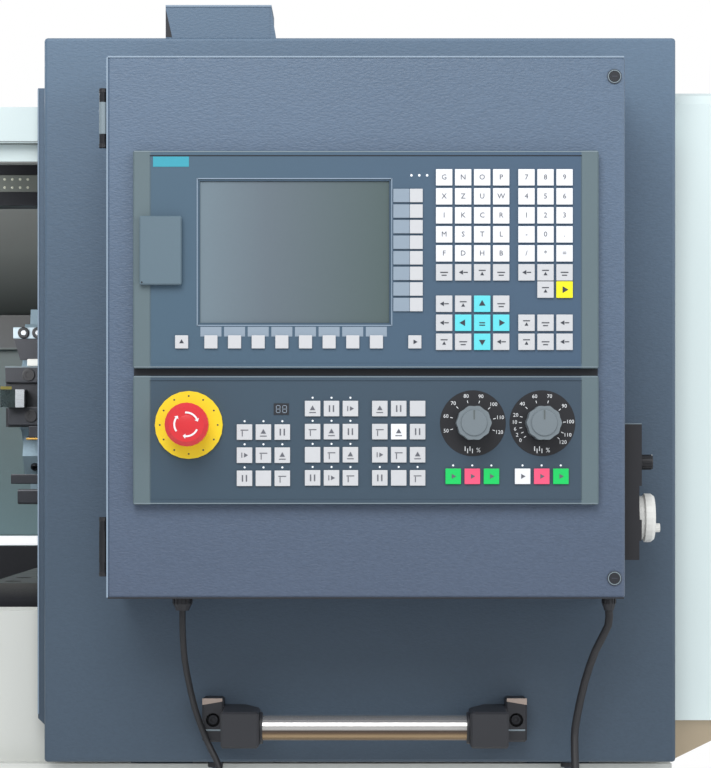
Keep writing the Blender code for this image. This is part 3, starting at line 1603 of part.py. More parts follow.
def door_handle():
    half = HANDLE_TUBE_LENGTH / 2
    brackets = []
    for name, side in (("handle_bracket_left", -1), ("handle_bracket_right", 1)):
        inner = handle_x + side * half
        outer = inner + side * HANDLE_BLOCK_WIDTH
        foot_outer = outer + side * HANDLE_FOOT_SHIFT
        back = door_y - GAP
        block_back = back - HANDLE_STAND_OFF + HANDLE_BLOCK_DEPTH
        block = [
            (inner, back - HANDLE_STAND_OFF),
            (outer, back - HANDLE_STAND_OFF),
            (outer, back - HANDLE_FOOT_DEPTH),
            (foot_outer, back - HANDLE_FOOT_DEPTH),
            (foot_outer, back),
            (outer - side * HANDLE_FOOT_SHIFT, back),
            (inner, block_back),
        ]
        low = handle_z - HANDLE_BLOCK_HEIGHT / 2
        bracket = floor_plate(name, [block], low, low + HANDLE_BLOCK_HEIGHT, black_plastic)
        foot = box(
            name + "_foot",
            (min(outer, foot_outer), back - HANDLE_FOOT_DEPTH, low + HANDLE_FOOT_RISE),
            (max(outer, foot_outer), back, low + HANDLE_BLOCK_HEIGHT + HANDLE_FOOT_RISE),
        )
        bevel(bracket, HANDLE_EDGE)
        bevel(foot, HANDLE_EDGE)
        join(bracket, foot)
        seat = inner + side * HANDLE_TUBE_SEAT
        cut(bracket, cylinder(
            name + "_bore",
            bore(HANDLE_TUBE_RADIUS),
            (min(inner - side * OVERRUN, seat), handle_y, handle_z),
            (max(inner - side * OVERRUN, seat), handle_y, handle_z),
            TURN_X,
        ))
        screw_x = (outer + foot_outer) / 2
        screw_z = handle_z + HANDLE_FOOT_RISE / 2
        front = back - HANDLE_FOOT_DEPTH
        cut(bracket, cylinder(
            name + "_recess",
            HANDLE_SCREW_RADIUS,
            (screw_x, front + HANDLE_SCREW_DEPTH, screw_z),
            (screw_x, front - OVERRUN, screw_z),
            TURN_FRONT,
            None,
            SMALL_STEPS,
        ))
        join(bracket, cylinder(
            name + "_screw",
            HANDLE_SCREW_HEAD,
            (screw_x, front + HANDLE_SCREW_DEPTH + OVERRUN, screw_z),
            (screw_x, front + HANDLE_SCREW_DEPTH / 2, screw_z),
            TURN_FRONT,
            None,
            SMALL_STEPS,
        ))
        brackets.append(bracket)
    reach = half + HANDLE_TUBE_SEAT - GAP
    tube = cylinder(
        "handle_tube",
        HANDLE_TUBE_RADIUS,
        (handle_x - reach, handle_y, handle_z),
        (handle_x + reach, handle_y, handle_z),
        TURN_X,
        polished_steel,
    )
    return brackets + [tube]


# Control box and what it carries

box_left = plate_left + BOX_INSET
box_right = plate_right - BOX_INSET
box_low = plate_bottom + BOX_INSET
box_high = plate_top - BOX_INSET
box_front_y = plate_y + PLATE_FOLD + BOX_SEAL_GAP
side_y = box_front_y + SIDE_PARTS_SET_BACK
pulse_left = box_right + GAP
pulse_right = pulse_left + PULSE_THICKNESS
pulse_top = plate_top - PULSE_TOP
wheel_z = pulse_top - WHEEL_DROP
selector_z = pulse_top - SELECTOR_DROP
hinge_x = plate_left - HINGE_RADIUS - GAP
hinge_y = plate_y + HINGE_RADIUS


def stem_hole(target, name, radius, start, end, turn, steps=SMALL_STEPS):
    cut(target, cylinder(name, bore(radius, steps), start, end, turn, None, steps))


def control_box():
    body = shell(
        "control_box",
        (box_left, box_front_y, box_low),
        (box_right, door_y - GAP, box_high),
        ("front",),
        SHEET,
        blue_grey_paint,
    )
    plug_z = plate_top - SIDE_PLUG_TOP
    join(body, cylinder(
        "side_plug",
        SIDE_PLUG_RADIUS,
        (box_right - SHEET / 2, side_y, plug_z),
        (box_right + SIDE_PLUG_THICKNESS, side_y, plug_z),
        TURN_X,
        None,
        SMALL_STEPS,
    ))
    pieces = [body]
    for name, x, radius, thread in (
        ("gland_left", gland_left_x, GLAND_RADIUS, GLAND_THREAD_RADIUS),
        ("gland_right", gland_right_x, GLAND_RIGHT_RADIUS, GLAND_RIGHT_THREAD_RADIUS),
    ):
        stem_hole(
            body,
            name + "_hole",
            thread,
            (x, gland_y, box_low - OVERRUN),
            (x, gland_y, box_low + SHEET + OVERRUN),
            TURN_UP,
        )
        under = box_low - GAP
        nut_low = under - GLAND_NUT_LENGTH
        profile = [
            (0.0, under + GLAND_THREAD_LENGTH),
            (thread, under + GLAND_THREAD_LENGTH),
            (thread, under),
            (radius, under),
            (radius, nut_low),
            (thread, nut_low - GLAND_DOME_LENGTH),
            (0.0, nut_low - GLAND_DOME_LENGTH),
        ]
        pieces.append(turned(name, profile, (x, gland_y, 0.0), TURN_UP, black_plastic, SMALL_STEPS))
    for name, top in (("hinge_upper", HINGE_UPPER_TOP), ("hinge_lower", HINGE_LOWER_TOP)):
        high = plate_top - top
        barrel = cylinder(
            name,
            HINGE_RADIUS,
            (hinge_x, hinge_y, high - HINGE_LENGTH),
            (hinge_x, hinge_y, high),
            TURN_UP,
            dark_steel,
            SMALL_STEPS,
        )
        leaf_right = plate_left - GAP
        join(barrel, box(
            name + "_leaf",
            (leaf_right - HINGE_LEAF_THICKNESS, hinge_y, high - HINGE_LENGTH),
            (leaf_right, hinge_y + HINGE_LEAF_WIDTH, high),
        ), box(
            name + "_pad",
            (leaf_right - HINGE_LEAF_THICKNESS / 2, box_front_y + FREE_GAP, high - HINGE_LENGTH),
            (box_left - GAP, hinge_y + HINGE_LEAF_WIDTH, high),
        ))
        pieces.append(barrel)
    knob_z = plate_top - SIDE_KNOB_TOP - SIDE_KNOB_RADIUS
    stem_hole(
        body,
        "side_knob_hole",
        GLAND_THREAD_RADIUS,
        (box_right - SHEET - OVERRUN, side_y, knob_z),
        (box_right + OVERRUN, side_y, knob_z),
        TURN_X,
    )
    profile = [
        (0.0, box_right + SIDE_KNOB_THICKNESS),
        (SIDE_KNOB_RADIUS, box_right + SIDE_KNOB_THICKNESS),
        (SIDE_KNOB_RADIUS, box_right + GAP),
        (GLAND_THREAD_RADIUS, box_right + GAP),
        (GLAND_THREAD_RADIUS, box_right - KNOB_STEM_DEPTH),
        (0.0, box_right - KNOB_STEM_DEPTH),
    ]
    pieces.append(turned("side_knob", profile, (0.0, side_y, knob_z), TURN_X, white_plastic, SMALL_STEPS))
    return pieces


def hand_pulse():
    front = box_front_y + PULSE_SET_BACK - PULSE_DEPTH / 4
    back = front + PULSE_DEPTH
    low = pulse_top - PULSE_HEIGHT
    first = pulse_top - PULSE_STEP_SHARES[0] * PULSE_HEIGHT
    second = pulse_top - PULSE_STEP_SHARES[1] * PULSE_HEIGHT
    outline = [
        (pulse_left, pulse_top),
        (pulse_right, pulse_top),
        (pulse_right, first),
        (pulse_right - PULSE_STEP, first),
        (pulse_right - PULSE_STEP, second),
        (pulse_right, second),
        (pulse_right, low + PULSE_STEP * 8),
        (pulse_right - PULSE_STEP, low + PULSE_STEP * 8),
        (pulse_right - PULSE_STEP, low),
        (pulse_left, low),
    ]
    unit = front_plate("hand_pulse_unit", [outline], front, back, black_plastic)
    middle = (front + back) / 2
    pins = (("wheel_hole", WHEEL_STEM_RADIUS, wheel_z), ("selector_hole", CRANK_RADIUS, selector_z))
    for name, radius, z in pins:
        start = (pulse_right - KNOB_STEM_DEPTH - GAP, middle, z)
        stem_hole(unit, name, radius, start, (pulse_right + OVERRUN, middle, z), TURN_X)
    wheel_face = pulse_right + GAP + WHEEL_THICKNESS
    rim = WHEEL_RADIUS * 0.9
    profile = [
        (0.0, wheel_face),
        (rim, wheel_face),
        (WHEEL_RADIUS, wheel_face - WHEEL_THICKNESS * 0.2),
        (WHEEL_RADIUS, wheel_face - WHEEL_THICKNESS * 0.6),
        (rim, wheel_face - WHEEL_THICKNESS * 0.7),
        (rim, pulse_right + GAP),
        (WHEEL_STEM_RADIUS, pulse_right + GAP),
        (WHEEL_STEM_RADIUS, pulse_right - KNOB_STEM_DEPTH),
        (0.0, pulse_right - KNOB_STEM_DEPTH),
    ]
    wheel = turned("handwheel", profile, (0.0, middle, wheel_z), TURN_X, white_plastic)
    angle = math.radians(CRANK_TURN)
    crank_y = middle + CRANK_OFFSET * math.cos(angle)
    crank_z = wheel_z + CRANK_OFFSET * math.sin(angle)
    pin_floor = wheel_face - WHEEL_THICKNESS / 2
    stem_hole(
        wheel,
        "crank_hole",
        CRANK_PIN_RADIUS,
        (pin_floor - GAP, crank_y, crank_z),
        (wheel_face + OVERRUN, crank_y, crank_z),
        TURN_X,
    )
    knob_start = wheel_face + GAP
    profile = [
        (0.0, knob_start + CRANK_LENGTH),
        (CRANK_RADIUS, knob_start + CRANK_LENGTH),
        (CRANK_RADIUS, knob_start),
        (CRANK_PIN_RADIUS, knob_start),
        (CRANK_PIN_RADIUS, pin_floor),
        (0.0, pin_floor),
    ]
    crank = turned("crank_knob", profile, (0.0, crank_y, crank_z), TURN_X, white_plastic, SMALL_STEPS)
    face = pulse_right + GAP
    profile = [
        (0.0, face + SELECTOR_LENGTH),
        (SELECTOR_RADIUS, face + SELECTOR_LENGTH),
        (SELECTOR_RADIUS, face),
        (CRANK_RADIUS, face),
        (CRANK_RADIUS, pulse_right - KNOB_STEM_DEPTH),
        (0.0, pulse_right - KNOB_STEM_DEPTH),
    ]
    selector = turned("selector_knob", profile, (0.0, middle, selector_z), TURN_X, black_plastic, SMALL_STEPS)
    wheel_pivot = pivot("wheel_pivot", (pulse_right, middle, wheel_z), wheel)
    crank_pivot = pivot("crank_pivot", (wheel_face, crank_y, crank_z), crank)
    carry(wheel_pivot, crank_pivot)
    return unit, wheel_pivot, pivot("selector_pivot", (pulse_right, middle, selector_z), selector)


# Front plate with the two operator panels

def key_boxes(places, width, height, panel_top):
    # Keys stand on the sunk field; a place is (left, top) on the panel.
    field_y = panel_y + FIELD_SINK
    made = []
    for left, top in places:
        x = bezel_left + left
        z = panel_top - top
        made.append(((x, field_y - KEY_RISE, z - height), (x + width, field_y + KEY_RISE, z)))
    return made


def grid(left, top, columns, rows, across, down):
    return [(left + across * i, top + down * j) for j in range(rows) for i in range(columns)]


def bezel(name, height, top):
    body = box(
        name,
        (bezel_left, panel_y, top - height),
        (bezel_left + BEZEL_WIDTH, panel_y + BEZEL_THICKNESS, top),
        panel_foil,
    )
    bevel(body, BEZEL_EDGE)
    cut(body, box(
        name + "_field",
        (bezel_left + FIELD_SIDE, panel_y - OVERRUN, top - height + FIELD_TOP),
        (bezel_left + BEZEL_WIDTH - FIELD_SIDE, panel_y + FIELD_SINK, top - FIELD_TOP),
    ))
    join(body, box(
        name + "_housing",
        (bezel_left + HOUSING_INSET, panel_y + BEZEL_THICKNESS / 2, top - height + HOUSING_INSET),
        (bezel_left + BEZEL_WIDTH - HOUSING_INSET, panel_y + BEZEL_THICKNESS + HOUSING_DEPTH, top - HOUSING_INSET),
    ))
    return body


def screen_unit():
    body = bezel("screen_unit", SCREEN_BEZEL_HEIGHT, screen_top)
    left = bezel_left + GLASS_LEFT
    high = screen_top - GLASS_TOP
    cut(body, box(
        "screen_frame",
        (left - FRAME_RIM, panel_y - OVERRUN, high - GLASS_HEIGHT - FRAME_RIM),
        (left + GLASS_WIDTH + FRAME_RIM, panel_y + FIELD_SINK + FRAME_SINK, high + FRAME_RIM),
    ), box(
        "screen_opening",
        (left - GAP, panel_y - OVERRUN, high - GLASS_HEIGHT - GAP),
        (left + GLASS_WIDTH + GAP, panel_y + FIELD_SINK + GLASS_SINK + GLASS_THICKNESS, high + GAP),
    ))
    glass_y = panel_y + FIELD_SINK + GLASS_SINK - GAP
    glass = box(
        "screen_glass",
        (left, glass_y, high - GLASS_HEIGHT),
        (left + GLASS_WIDTH, glass_y + GLASS_THICKNESS, high),
        screen_glass_grey,
    )
    side_keys = grid(SIDE_KEY_LEFT, GLASS_TOP + KEY_SIZE / 2, 1, SOFT_KEYS, 0, SIDE_KEY_PITCH)
    low_keys = grid(LOW_KEY_LEFT, LOW_KEY_TOP, SOFT_KEYS, 1, LOW_KEY_PITCH, 0)
    low_keys += [(x, LOW_KEY_TOP) for x in END_KEY_LEFTS]
    letters = grid(LETTER_LEFT, LETTER_TOP, LETTER_COLUMNS, LETTER_ROWS, KEY_PITCH, KEY_PITCH)
    numbers = grid(NUMBER_LEFT, LETTER_TOP, NUMBER_COLUMNS, LETTER_ROWS, KEY_PITCH, KEY_PITCH)
    cursor = grid(LETTER_LEFT, CURSOR_TOP, LETTER_COLUMNS, CURSOR_ROWS, KEY_PITCH, KEY_PITCH)
    tools = grid(NUMBER_LEFT, CURSOR_TOP + KEY_PITCH, NUMBER_COLUMNS, CURSOR_ROWS - 1, KEY_PITCH, KEY_PITCH)
    cycle = grid(NUMBER_LEFT + KEY_PITCH, CYCLE_TOP, NUMBER_COLUMNS - 1, 1, KEY_PITCH, 0)
    square = letters + numbers + cursor + tools + cycle
    keys = key_boxes(side_keys, SIDE_KEY_WIDTH, SIDE_KEY_HEIGHT, screen_top)
    keys += key_boxes(low_keys, LOW_KEY_SIZE, LOW_KEY_SIZE, screen_top)
    keys += key_boxes(square, KEY_SIZE, KEY_SIZE, screen_top)
    join(body, boxes("screen_keys", keys))
    flap_left = bezel_left + FLAP_LEFT
    flap_top = screen_top - FLAP_TOP
    flap = box(
        "usb_flap",
        (flap_left, panel_y - GAP - FLAP_THICKNESS, flap_top - FLAP_HEIGHT),
        (flap_left + FLAP_WIDTH, panel_y - GAP, flap_top),
        panel_foil,
    )
    bevel(flap, FLAP_PIN_RADIUS / 2)
    flap_pivot = pivot("flap_pivot", (flap_left, panel_y - GAP - FLAP_THICKNESS, flap_top - FLAP_HEIGHT), flap)
    return body, glass, flap_pivot


def fluted(name, radius, depth, flutes, back, front, place, paint):
    # A knob whose outline waves once for each flute, from place of its axis.
    steps = flutes * 4
    outline = []
    for i in range(steps):
        a = 2 * math.pi * i / steps
        r = radius - depth * (1 - math.cos(flutes * a)) / 2
        outline.append((r * math.cos(a), r * math.sin(a)))
    knob = front_plate(name, [outline], back, front, paint)
    knob.location.x, knob.location.z = place
    return knob


def machine_panel():
    body = bezel("machine_panel", MACHINE_BEZEL_HEIGHT, machine_panel_top)
    top = machine_panel_top
    small = grid(LEFT_KEYS_LEFT, LEFT_KEYS_TOP, KEY_COLUMNS, LEFT_KEYS_ROWS, SMALL_PITCH, ROW_PITCH)
    small += grid(MIDDLE_KEYS_LEFT, MIDDLE_KEYS_TOP, KEY_COLUMNS, MIDDLE_KEYS_ROWS, SMALL_PITCH, ROW_PITCH)
    small += grid(RIGHT_KEYS_LEFT, MIDDLE_KEYS_TOP, KEY_COLUMNS, MIDDLE_KEYS_ROWS, SMALL_PITCH, ROW_PITCH)
    small += grid(START_KEYS_LEFT, START_KEYS_TOP, KEY_COLUMNS, 1, START_KEYS_PITCH, 0)
    small += grid(START_KEYS_SECOND, START_KEYS_TOP, KEY_COLUMNS, 1, START_KEYS_PITCH, 0)
    join(body, boxes("machine_keys", key_boxes(small, SMALL_KEY, SMALL_KEY, top)))
    field_y = panel_y + FIELD_SINK
    stop_x = bezel_left + STOP_LEFT
    stop_z = top - STOP_TOP
    ring_back = field_y - GAP
    ring_front = ring_back - STOP_RING_THICKNESS
    stem_end = field_y + STOP_BORE_DEPTH
    stem_hole(
        body,
        "stop_hole",
        STOP_STEM_RADIUS,
        (stop_x, stem_end + STOP_TRAVEL + GAP, stop_z),
        (stop_x, panel_y - OVERRUN, stop_z),
        TURN_FRONT,
        ROUND_STEPS,
    )
    hole = bore(STOP_STEM_RADIUS)
    profile = [
        (STOP_RING_RADIUS, -ring_front),
        (STOP_RING_RADIUS, -ring_back),
        (hole, -ring_back),
        (hole, -ring_front),
    ]
    ring = turned(
        "stop_ring", profile, (stop_x, 0.0, stop_z), TURN_FRONT, stop_yellow, ROUND_STEPS, True
    )
    head_front = ring_front - STOP_HEIGHT + STOP_RING_THICKNESS
    head_back = ring_front - GAP - STOP_TRAVEL
    profile = [
        (0.0, -head_front),
        (STOP_HEAD_RADIUS * 0.8, -head_front),
        (STOP_HEAD_RADIUS, -head_front - STOP_HEIGHT * 0.1),
        (STOP_HEAD_RADIUS, -head_front - STOP_HEIGHT * 0.4),
        (STOP_STEM_RADIUS, -head_back),
        (STOP_STEM_RADIUS, -stem_end),
        (0.0, -stem_end),
    ]
    button = turned("stop_button", profile, (stop_x, 0.0, stop_z), TURN_FRONT, stop_red)
    moving = [pivot("stop_slide", (stop_x, ring_front, stop_z), button)]
    for name, left in (("speed_knob", SPEED_DIAL_LEFT), ("feed_knob", FEED_DIAL_LEFT)):
        x = bezel_left + left
        z = top - DIAL_TOP
        stem_hole(
            body,
            name + "_hole",
            DIAL_STEM_RADIUS,
            (x, field_y + DIAL_STEM_DEPTH + GAP, z),
            (x, panel_y - OVERRUN, z),
            TURN_FRONT,
        )
        back = field_y - 2 * GAP
        knob = fluted(
            name,
            DIAL_KNOB_RADIUS,
            DIAL_FLUTE_DEPTH,
            DIAL_KNOB_FLUTES,
            back,
            back - DIAL_KNOB_HEIGHT,
            (x, z),
            knob_grey,
        )
        join(knob, cylinder(
            name + "_stem",
            DIAL_STEM_RADIUS,
            (x, field_y + DIAL_STEM_DEPTH, z),
            (x, back - OVERRUN, z),
            TURN_FRONT,
            None,
            SMALL_STEPS,
        ))
        moving.append(pivot(name + "_pivot", (x, field_y, z), knob))
    return body, ring, moving


def front_plate_unit():
    body = shell(
        "control_front_plate",
        (plate_left, plate_y, plate_bottom),
        (plate_right, plate_y + PLATE_FOLD, plate_top),
        ("back",),
        SHEET,
        blue_grey_paint,
        FOLD_RADIUS,
    )
    for name, top, height in (
        ("screen_cutout", screen_top, SCREEN_BEZEL_HEIGHT),
        ("machine_cutout", machine_panel_top, MACHINE_BEZEL_HEIGHT),
    ):
        inset = HOUSING_INSET - GAP
        cut(body, box(
            name,
            (bezel_left + inset, plate_y - OVERRUN, top - height + inset),
            (bezel_left + BEZEL_WIDTH - inset, plate_y + SHEET + OVERRUN, top - inset),
        ))
    screen, glass, flap_pivot = screen_unit()
    machine, ring, moving = machine_panel()
    swing = pivot("plate_pivot", (hinge_x, hinge_y, plate_bottom), body, screen, glass, machine, ring)
    carry(swing, flap_pivot, *moving)
    lock_x = plate_right - LOCK_SIDE
    front = plate_y - GAP
    back = plate_y + LOCK_REACH
    for name, z in (("lock_upper", plate_top - LOCK_TOP), ("lock_lower", plate_bottom + LOCK_TOP)):
        stem_hole(
            body,
            name + "_hole",
            LOCK_RADIUS,
            (lock_x, plate_y + SHEET + OVERRUN, z),
            (lock_x, plate_y - OVERRUN, z),
            TURN_FRONT,
        )
        profile = [
            (0.0, -front + LOCK_RIM_HEIGHT),
            (LOCK_RIM_RADIUS, -front + LOCK_RIM_HEIGHT),
            (LOCK_RIM_RADIUS, -front),
            (LOCK_RADIUS, -front),
            (LOCK_RADIUS, -back),
            (0.0, -back),
        ]
        lock = turned(name, profile, (lock_x, 0.0, z), TURN_FRONT, black_plastic, SMALL_STEPS)
        join(lock, box(
            name + "_cam",
            (lock_x, back - LOCK_CAM_THICKNESS, z - LOCK_CAM_WIDTH / 2),
            (lock_x + LOCK_CAM_LENGTH + LOCK_CAM_WIDTH / 4, back - GAP, z + LOCK_CAM_WIDTH / 2),
        ))
        carry(swing, pivot(name + "_pivot", (lock_x, front, z), lock))
    return swing


def cable(name, route, radius):
    # A tube along the smooth curve through the route's own points.
    points = [Vector(p) for p in route]
    smooth = []
    for i in range(len(points) - 1):
        before = points[max(i - 1, 0)]
        start, end = points[i], points[i + 1]
        after = points[min(i + 2, len(points) - 1)]
        for j in range(2):
            t = j / 2
            smooth.append(0.5 * (
                2 * start
                + (end - before) * t
                + (2 * before - 5 * start + 4 * end - after) * t ** 2
                + (3 * start - before - 3 * end + after) * t ** 3
            ))
    smooth.append(points[-1])
    curve = bpy.data.curves.new(name, "CURVE")
    curve.dimensions = "3D"
    curve.bevel_depth = radius
    curve.bevel_resolution = 2
    curve.use_fill_caps = True
    spline = curve.splines.new("POLY")
    spline.points.add(len(smooth) - 1)
    for point, place in zip(spline.points, smooth):
        point.co = (*place, 1.0)
    obj = bpy.data.objects.new(name, curve)
    model.objects.link(obj)
    curve.materials.append(cable_black)
    return obj


base_cabinet()
chip_tray()
bed()
casing()
rails()
work_lamp()
headstock()
z_drive()
tailstock()
electrical_cabinet()

saddle_piece = saddle()
slide_piece, housing_piece = cross_slide()
disc_piece, block_piece, tool_piece = turret()
carriage = pivot("carriage_slide", (saddle_left, spindle_y, saddle_bottom), saddle_piece)
crossing = pivot("cross_slide_axis", (slide_left, slide_front_y, saddle_top), slide_piece, housing_piece)
indexing = pivot("turret_pivot", (turret_left, turret_y, spindle_z), disc_piece, block_piece, tool_piece)
carry(carriage, crossing)
carry(crossing, indexing)

door_pieces = list(sliding_door()) + door_handle() + control_box()
unit, wheel_part, selector_part = hand_pulse()
plate_part = front_plate_unit()
cables = [
    cable("cable_left", LEFT_ROUTE, CABLE_RADIUS_LEFT),
    cable("cable_right", RIGHT_ROUTE, CABLE_RADIUS_RIGHT),
]
sliding = pivot("door_slide", (door_x, door_y, door_bottom), *door_pieces, unit, *cables)
carry(sliding, wheel_part, selector_part, plate_part)
bpy.context.view_layer.update()
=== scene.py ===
import math

import bmesh
import bpy
from mathutils import Matrix, Vector


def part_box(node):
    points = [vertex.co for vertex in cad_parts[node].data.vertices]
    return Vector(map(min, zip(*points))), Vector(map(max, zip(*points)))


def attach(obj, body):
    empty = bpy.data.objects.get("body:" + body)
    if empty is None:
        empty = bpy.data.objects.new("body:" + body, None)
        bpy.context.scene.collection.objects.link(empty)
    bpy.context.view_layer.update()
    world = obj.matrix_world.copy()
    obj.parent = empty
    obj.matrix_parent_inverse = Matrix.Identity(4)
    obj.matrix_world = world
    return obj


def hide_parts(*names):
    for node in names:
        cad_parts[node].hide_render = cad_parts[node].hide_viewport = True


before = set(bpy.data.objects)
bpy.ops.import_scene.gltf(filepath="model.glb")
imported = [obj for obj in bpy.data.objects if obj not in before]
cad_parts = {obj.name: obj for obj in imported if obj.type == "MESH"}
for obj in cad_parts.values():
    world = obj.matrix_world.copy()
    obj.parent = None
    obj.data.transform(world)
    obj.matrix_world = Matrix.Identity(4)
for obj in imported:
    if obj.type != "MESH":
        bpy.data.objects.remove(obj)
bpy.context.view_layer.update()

bl_info = {
    "name": "Turning lathe looks",
    "version": (1, 0, 0),
    "blender": (4, 5, 0),
    "location": "3D View > Sidebar > Lathe",
    "description": "Finishes, keys, dials, cables and small fittings of a turning lathe",
    "category": "Add Mesh",
}

# Offsets and small sizes in the tables below are in millimetres, all else is in metres
MM = 0.001


def span(node):
    """The low and the high corner of a CAD node at rest."""
    return tuple(Vector(corner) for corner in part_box(node))


screen_low, screen_high = span("screen_unit")
machine_low, machine_high = span("machine_panel")
# Faces of the panels' rims and, a little deeper, of their printed fields
panel_y = screen_low.y + 0.8 * MM
field_y = panel_y + 0.8 * MM
TURN_FRONT = Matrix.Rotation(math.pi / 2, 4, "X")
TURN_RIGHT = Matrix.Rotation(math.pi / 2, 4, "Y")
TURN_LEFT = Matrix.Rotation(-math.pi / 2, 4, "Y")
UPRIGHT = Matrix()
# Y and Z of the spindle's and the turret's axes
SPINDLE_AXIS = (-0.0675, 1.1946)
TURRET_AXIS = (0.0825, 1.1946)
# The panels' plain rims at left and right, and how fast their colour ends
RIM_WIDTH = 15.0 * MM
RIM_EDGE = 0.6 * MM
# From the back wall's rear face to the rear face of the roof cover behind it
ROOF_COVER_ROOM = 56.75 * MM


def srgb(red, green, blue):
    """A colour as it shows on a screen, 0 to 255, as linear values."""
    parts = []
    for value in (red, green, blue):
        c = value / 255
        parts.append(c / 12.92 if c <= 0.04045 else ((c + 0.055) / 1.055) ** 2.4)
    return (*parts, 1.0)


# Sizes and colours that a user would change

def colour_property(name, description, *tone):
    return bpy.props.FloatVectorProperty(
        name=name, description=description, subtype="COLOR", size=4, min=0.0, max=1.0, default=srgb(*tone))


def length_property(name, description, default, least, most):
    return bpy.props.FloatProperty(
        name=name, description=description, unit="LENGTH", default=default, min=least, max=most)


class LatheColours(bpy.types.PropertyGroup):
    door_paint: colour_property("Door paint", "Wrinkle paint of door and control box", 93, 115, 137)
    casing_paint: colour_property("Casing paint", "Paint of casing and rails", 220, 234, 234)
    base_paint: colour_property("Base paint", "Paint of base and chip tray", 200, 203, 200)
    panel_foil: colour_property("Panel foil", "Foil of the operator panels", 69, 96, 117)


class LatheSizes(bpy.types.PropertyGroup):
    wrinkle: length_property("Wrinkle size", "Width of one wrinkle in the door paint", 0.0024, 0.0002, 0.01)
    cable_left: length_property("Left cable", "Diameter of the left cable", 0.006, 0.002, 0.02)
    cable_right: length_property("Right cable", "Diameter of the right cable", 0.0074, 0.002, 0.02)
    cap_rise: length_property("Key cap rise", "How far key caps stand out", 0.0014, 0.0005, 0.005)


# Shared effects in the materials

def tree_of(name, kind, inputs, outputs):
    """A node tree with sockets from (name, form, value) rows, and its two end nodes' sockets."""
    tree = bpy.data.node_groups.new(name, kind)
    for way, rows in (("INPUT", inputs), ("OUTPUT", outputs)):
        for label, form, *value in rows:
            made = tree.interface.new_socket(name=label, in_out=way, socket_type="NodeSocket" + form)
            if value:
                made.default_value = value[0]
    return tree, tree.nodes.new("NodeGroupInput").outputs, tree.nodes.new("NodeGroupOutput").inputs


def node(tree, kind, inputs, **settings):
    """Adds a node; each of its inputs gets a value or a link from another node's output."""
    made = tree.nodes.new(kind)
    for name, value in settings.items():
        setattr(made, name, value)
    for name, value in inputs.items():
        if isinstance(value, bpy.types.NodeSocket):
            tree.links.new(value, made.inputs[name])
        else:
            made.inputs[name].default_value = value
    return made


def grain_group():
    """Fine grain: a height for the bump, and a paint colour and gloss that vary a little."""
    tree, given, result = tree_of(
        "paint_grain", "ShaderNodeTree",
        (("Place", "Vector"), ("Colour", "Color"), ("Grain scale", "Float", 900.0),
         ("Patch scale", "Float", 5.0), ("Amount", "Float", 0.08), ("Gloss", "Float", 0.5)),
        (("Colour", "Color"), ("Roughness", "Float"), ("Height", "Float")))
    noises = [
        node(tree, "ShaderNodeTexNoise", {"Detail": detail, "Vector": given["Place"], "Scale": given[scale]})
        for detail, scale in ((3.0, "Grain scale"), (4.0, "Patch scale"))]
    grain, patch = (noise.outputs["Fac"] for noise in noises)
    both = node(tree, "ShaderNodeMath", {0: grain, 1: patch}, operation="ADD")
    spread = node(tree, "ShaderNodeMapRange",
                  {"From Min": 0.6, "From Max": 1.4, "To Min": -1.0, "Value": both.outputs[0]})
    scaled = node(tree, "ShaderNodeMath", {0: spread.outputs[0], 1: given["Amount"], 2: 1.0},
                  operation="MULTIPLY_ADD").outputs[0]
    tint = node(tree, "ShaderNodeVectorMath", {0: given["Colour"], "Scale": scaled}, operation="SCALE")
    gloss = node(tree, "ShaderNodeMath", {0: scaled, 1: given["Gloss"]}, operation="MULTIPLY")
    for name, value in (("Colour", tint.outputs[0]), ("Roughness", gloss.outputs[0]), ("Height", grain)):
        tree.links.new(value, result[name])
    return tree


def wear_group():
    """A mask of thin scratches and rubbed specks."""
    tree, given, result = tree_of(
        "rubbed_specks", "ShaderNodeTree",
        (("Place", "Vector"), ("Scale", "Float", 60.0), ("Cover", "Float", 0.7)), (("Mask", "Float"),))
    noise = node(tree, "ShaderNodeTexNoise",
                 {"Detail": 8.0, "Roughness": 0.7, "Vector": given["Place"], "Scale": given["Scale"]})
    edge = node(tree, "ShaderNodeMapRange",
                {"From Max": 0.85, "Value": noise.outputs["Fac"], "From Min": given["Cover"]})
    tree.links.new(edge.outputs[0], result["Mask"])
    return tree


paint_grain = grain_group()
rubbed_specks = wear_group()
finishes = {}


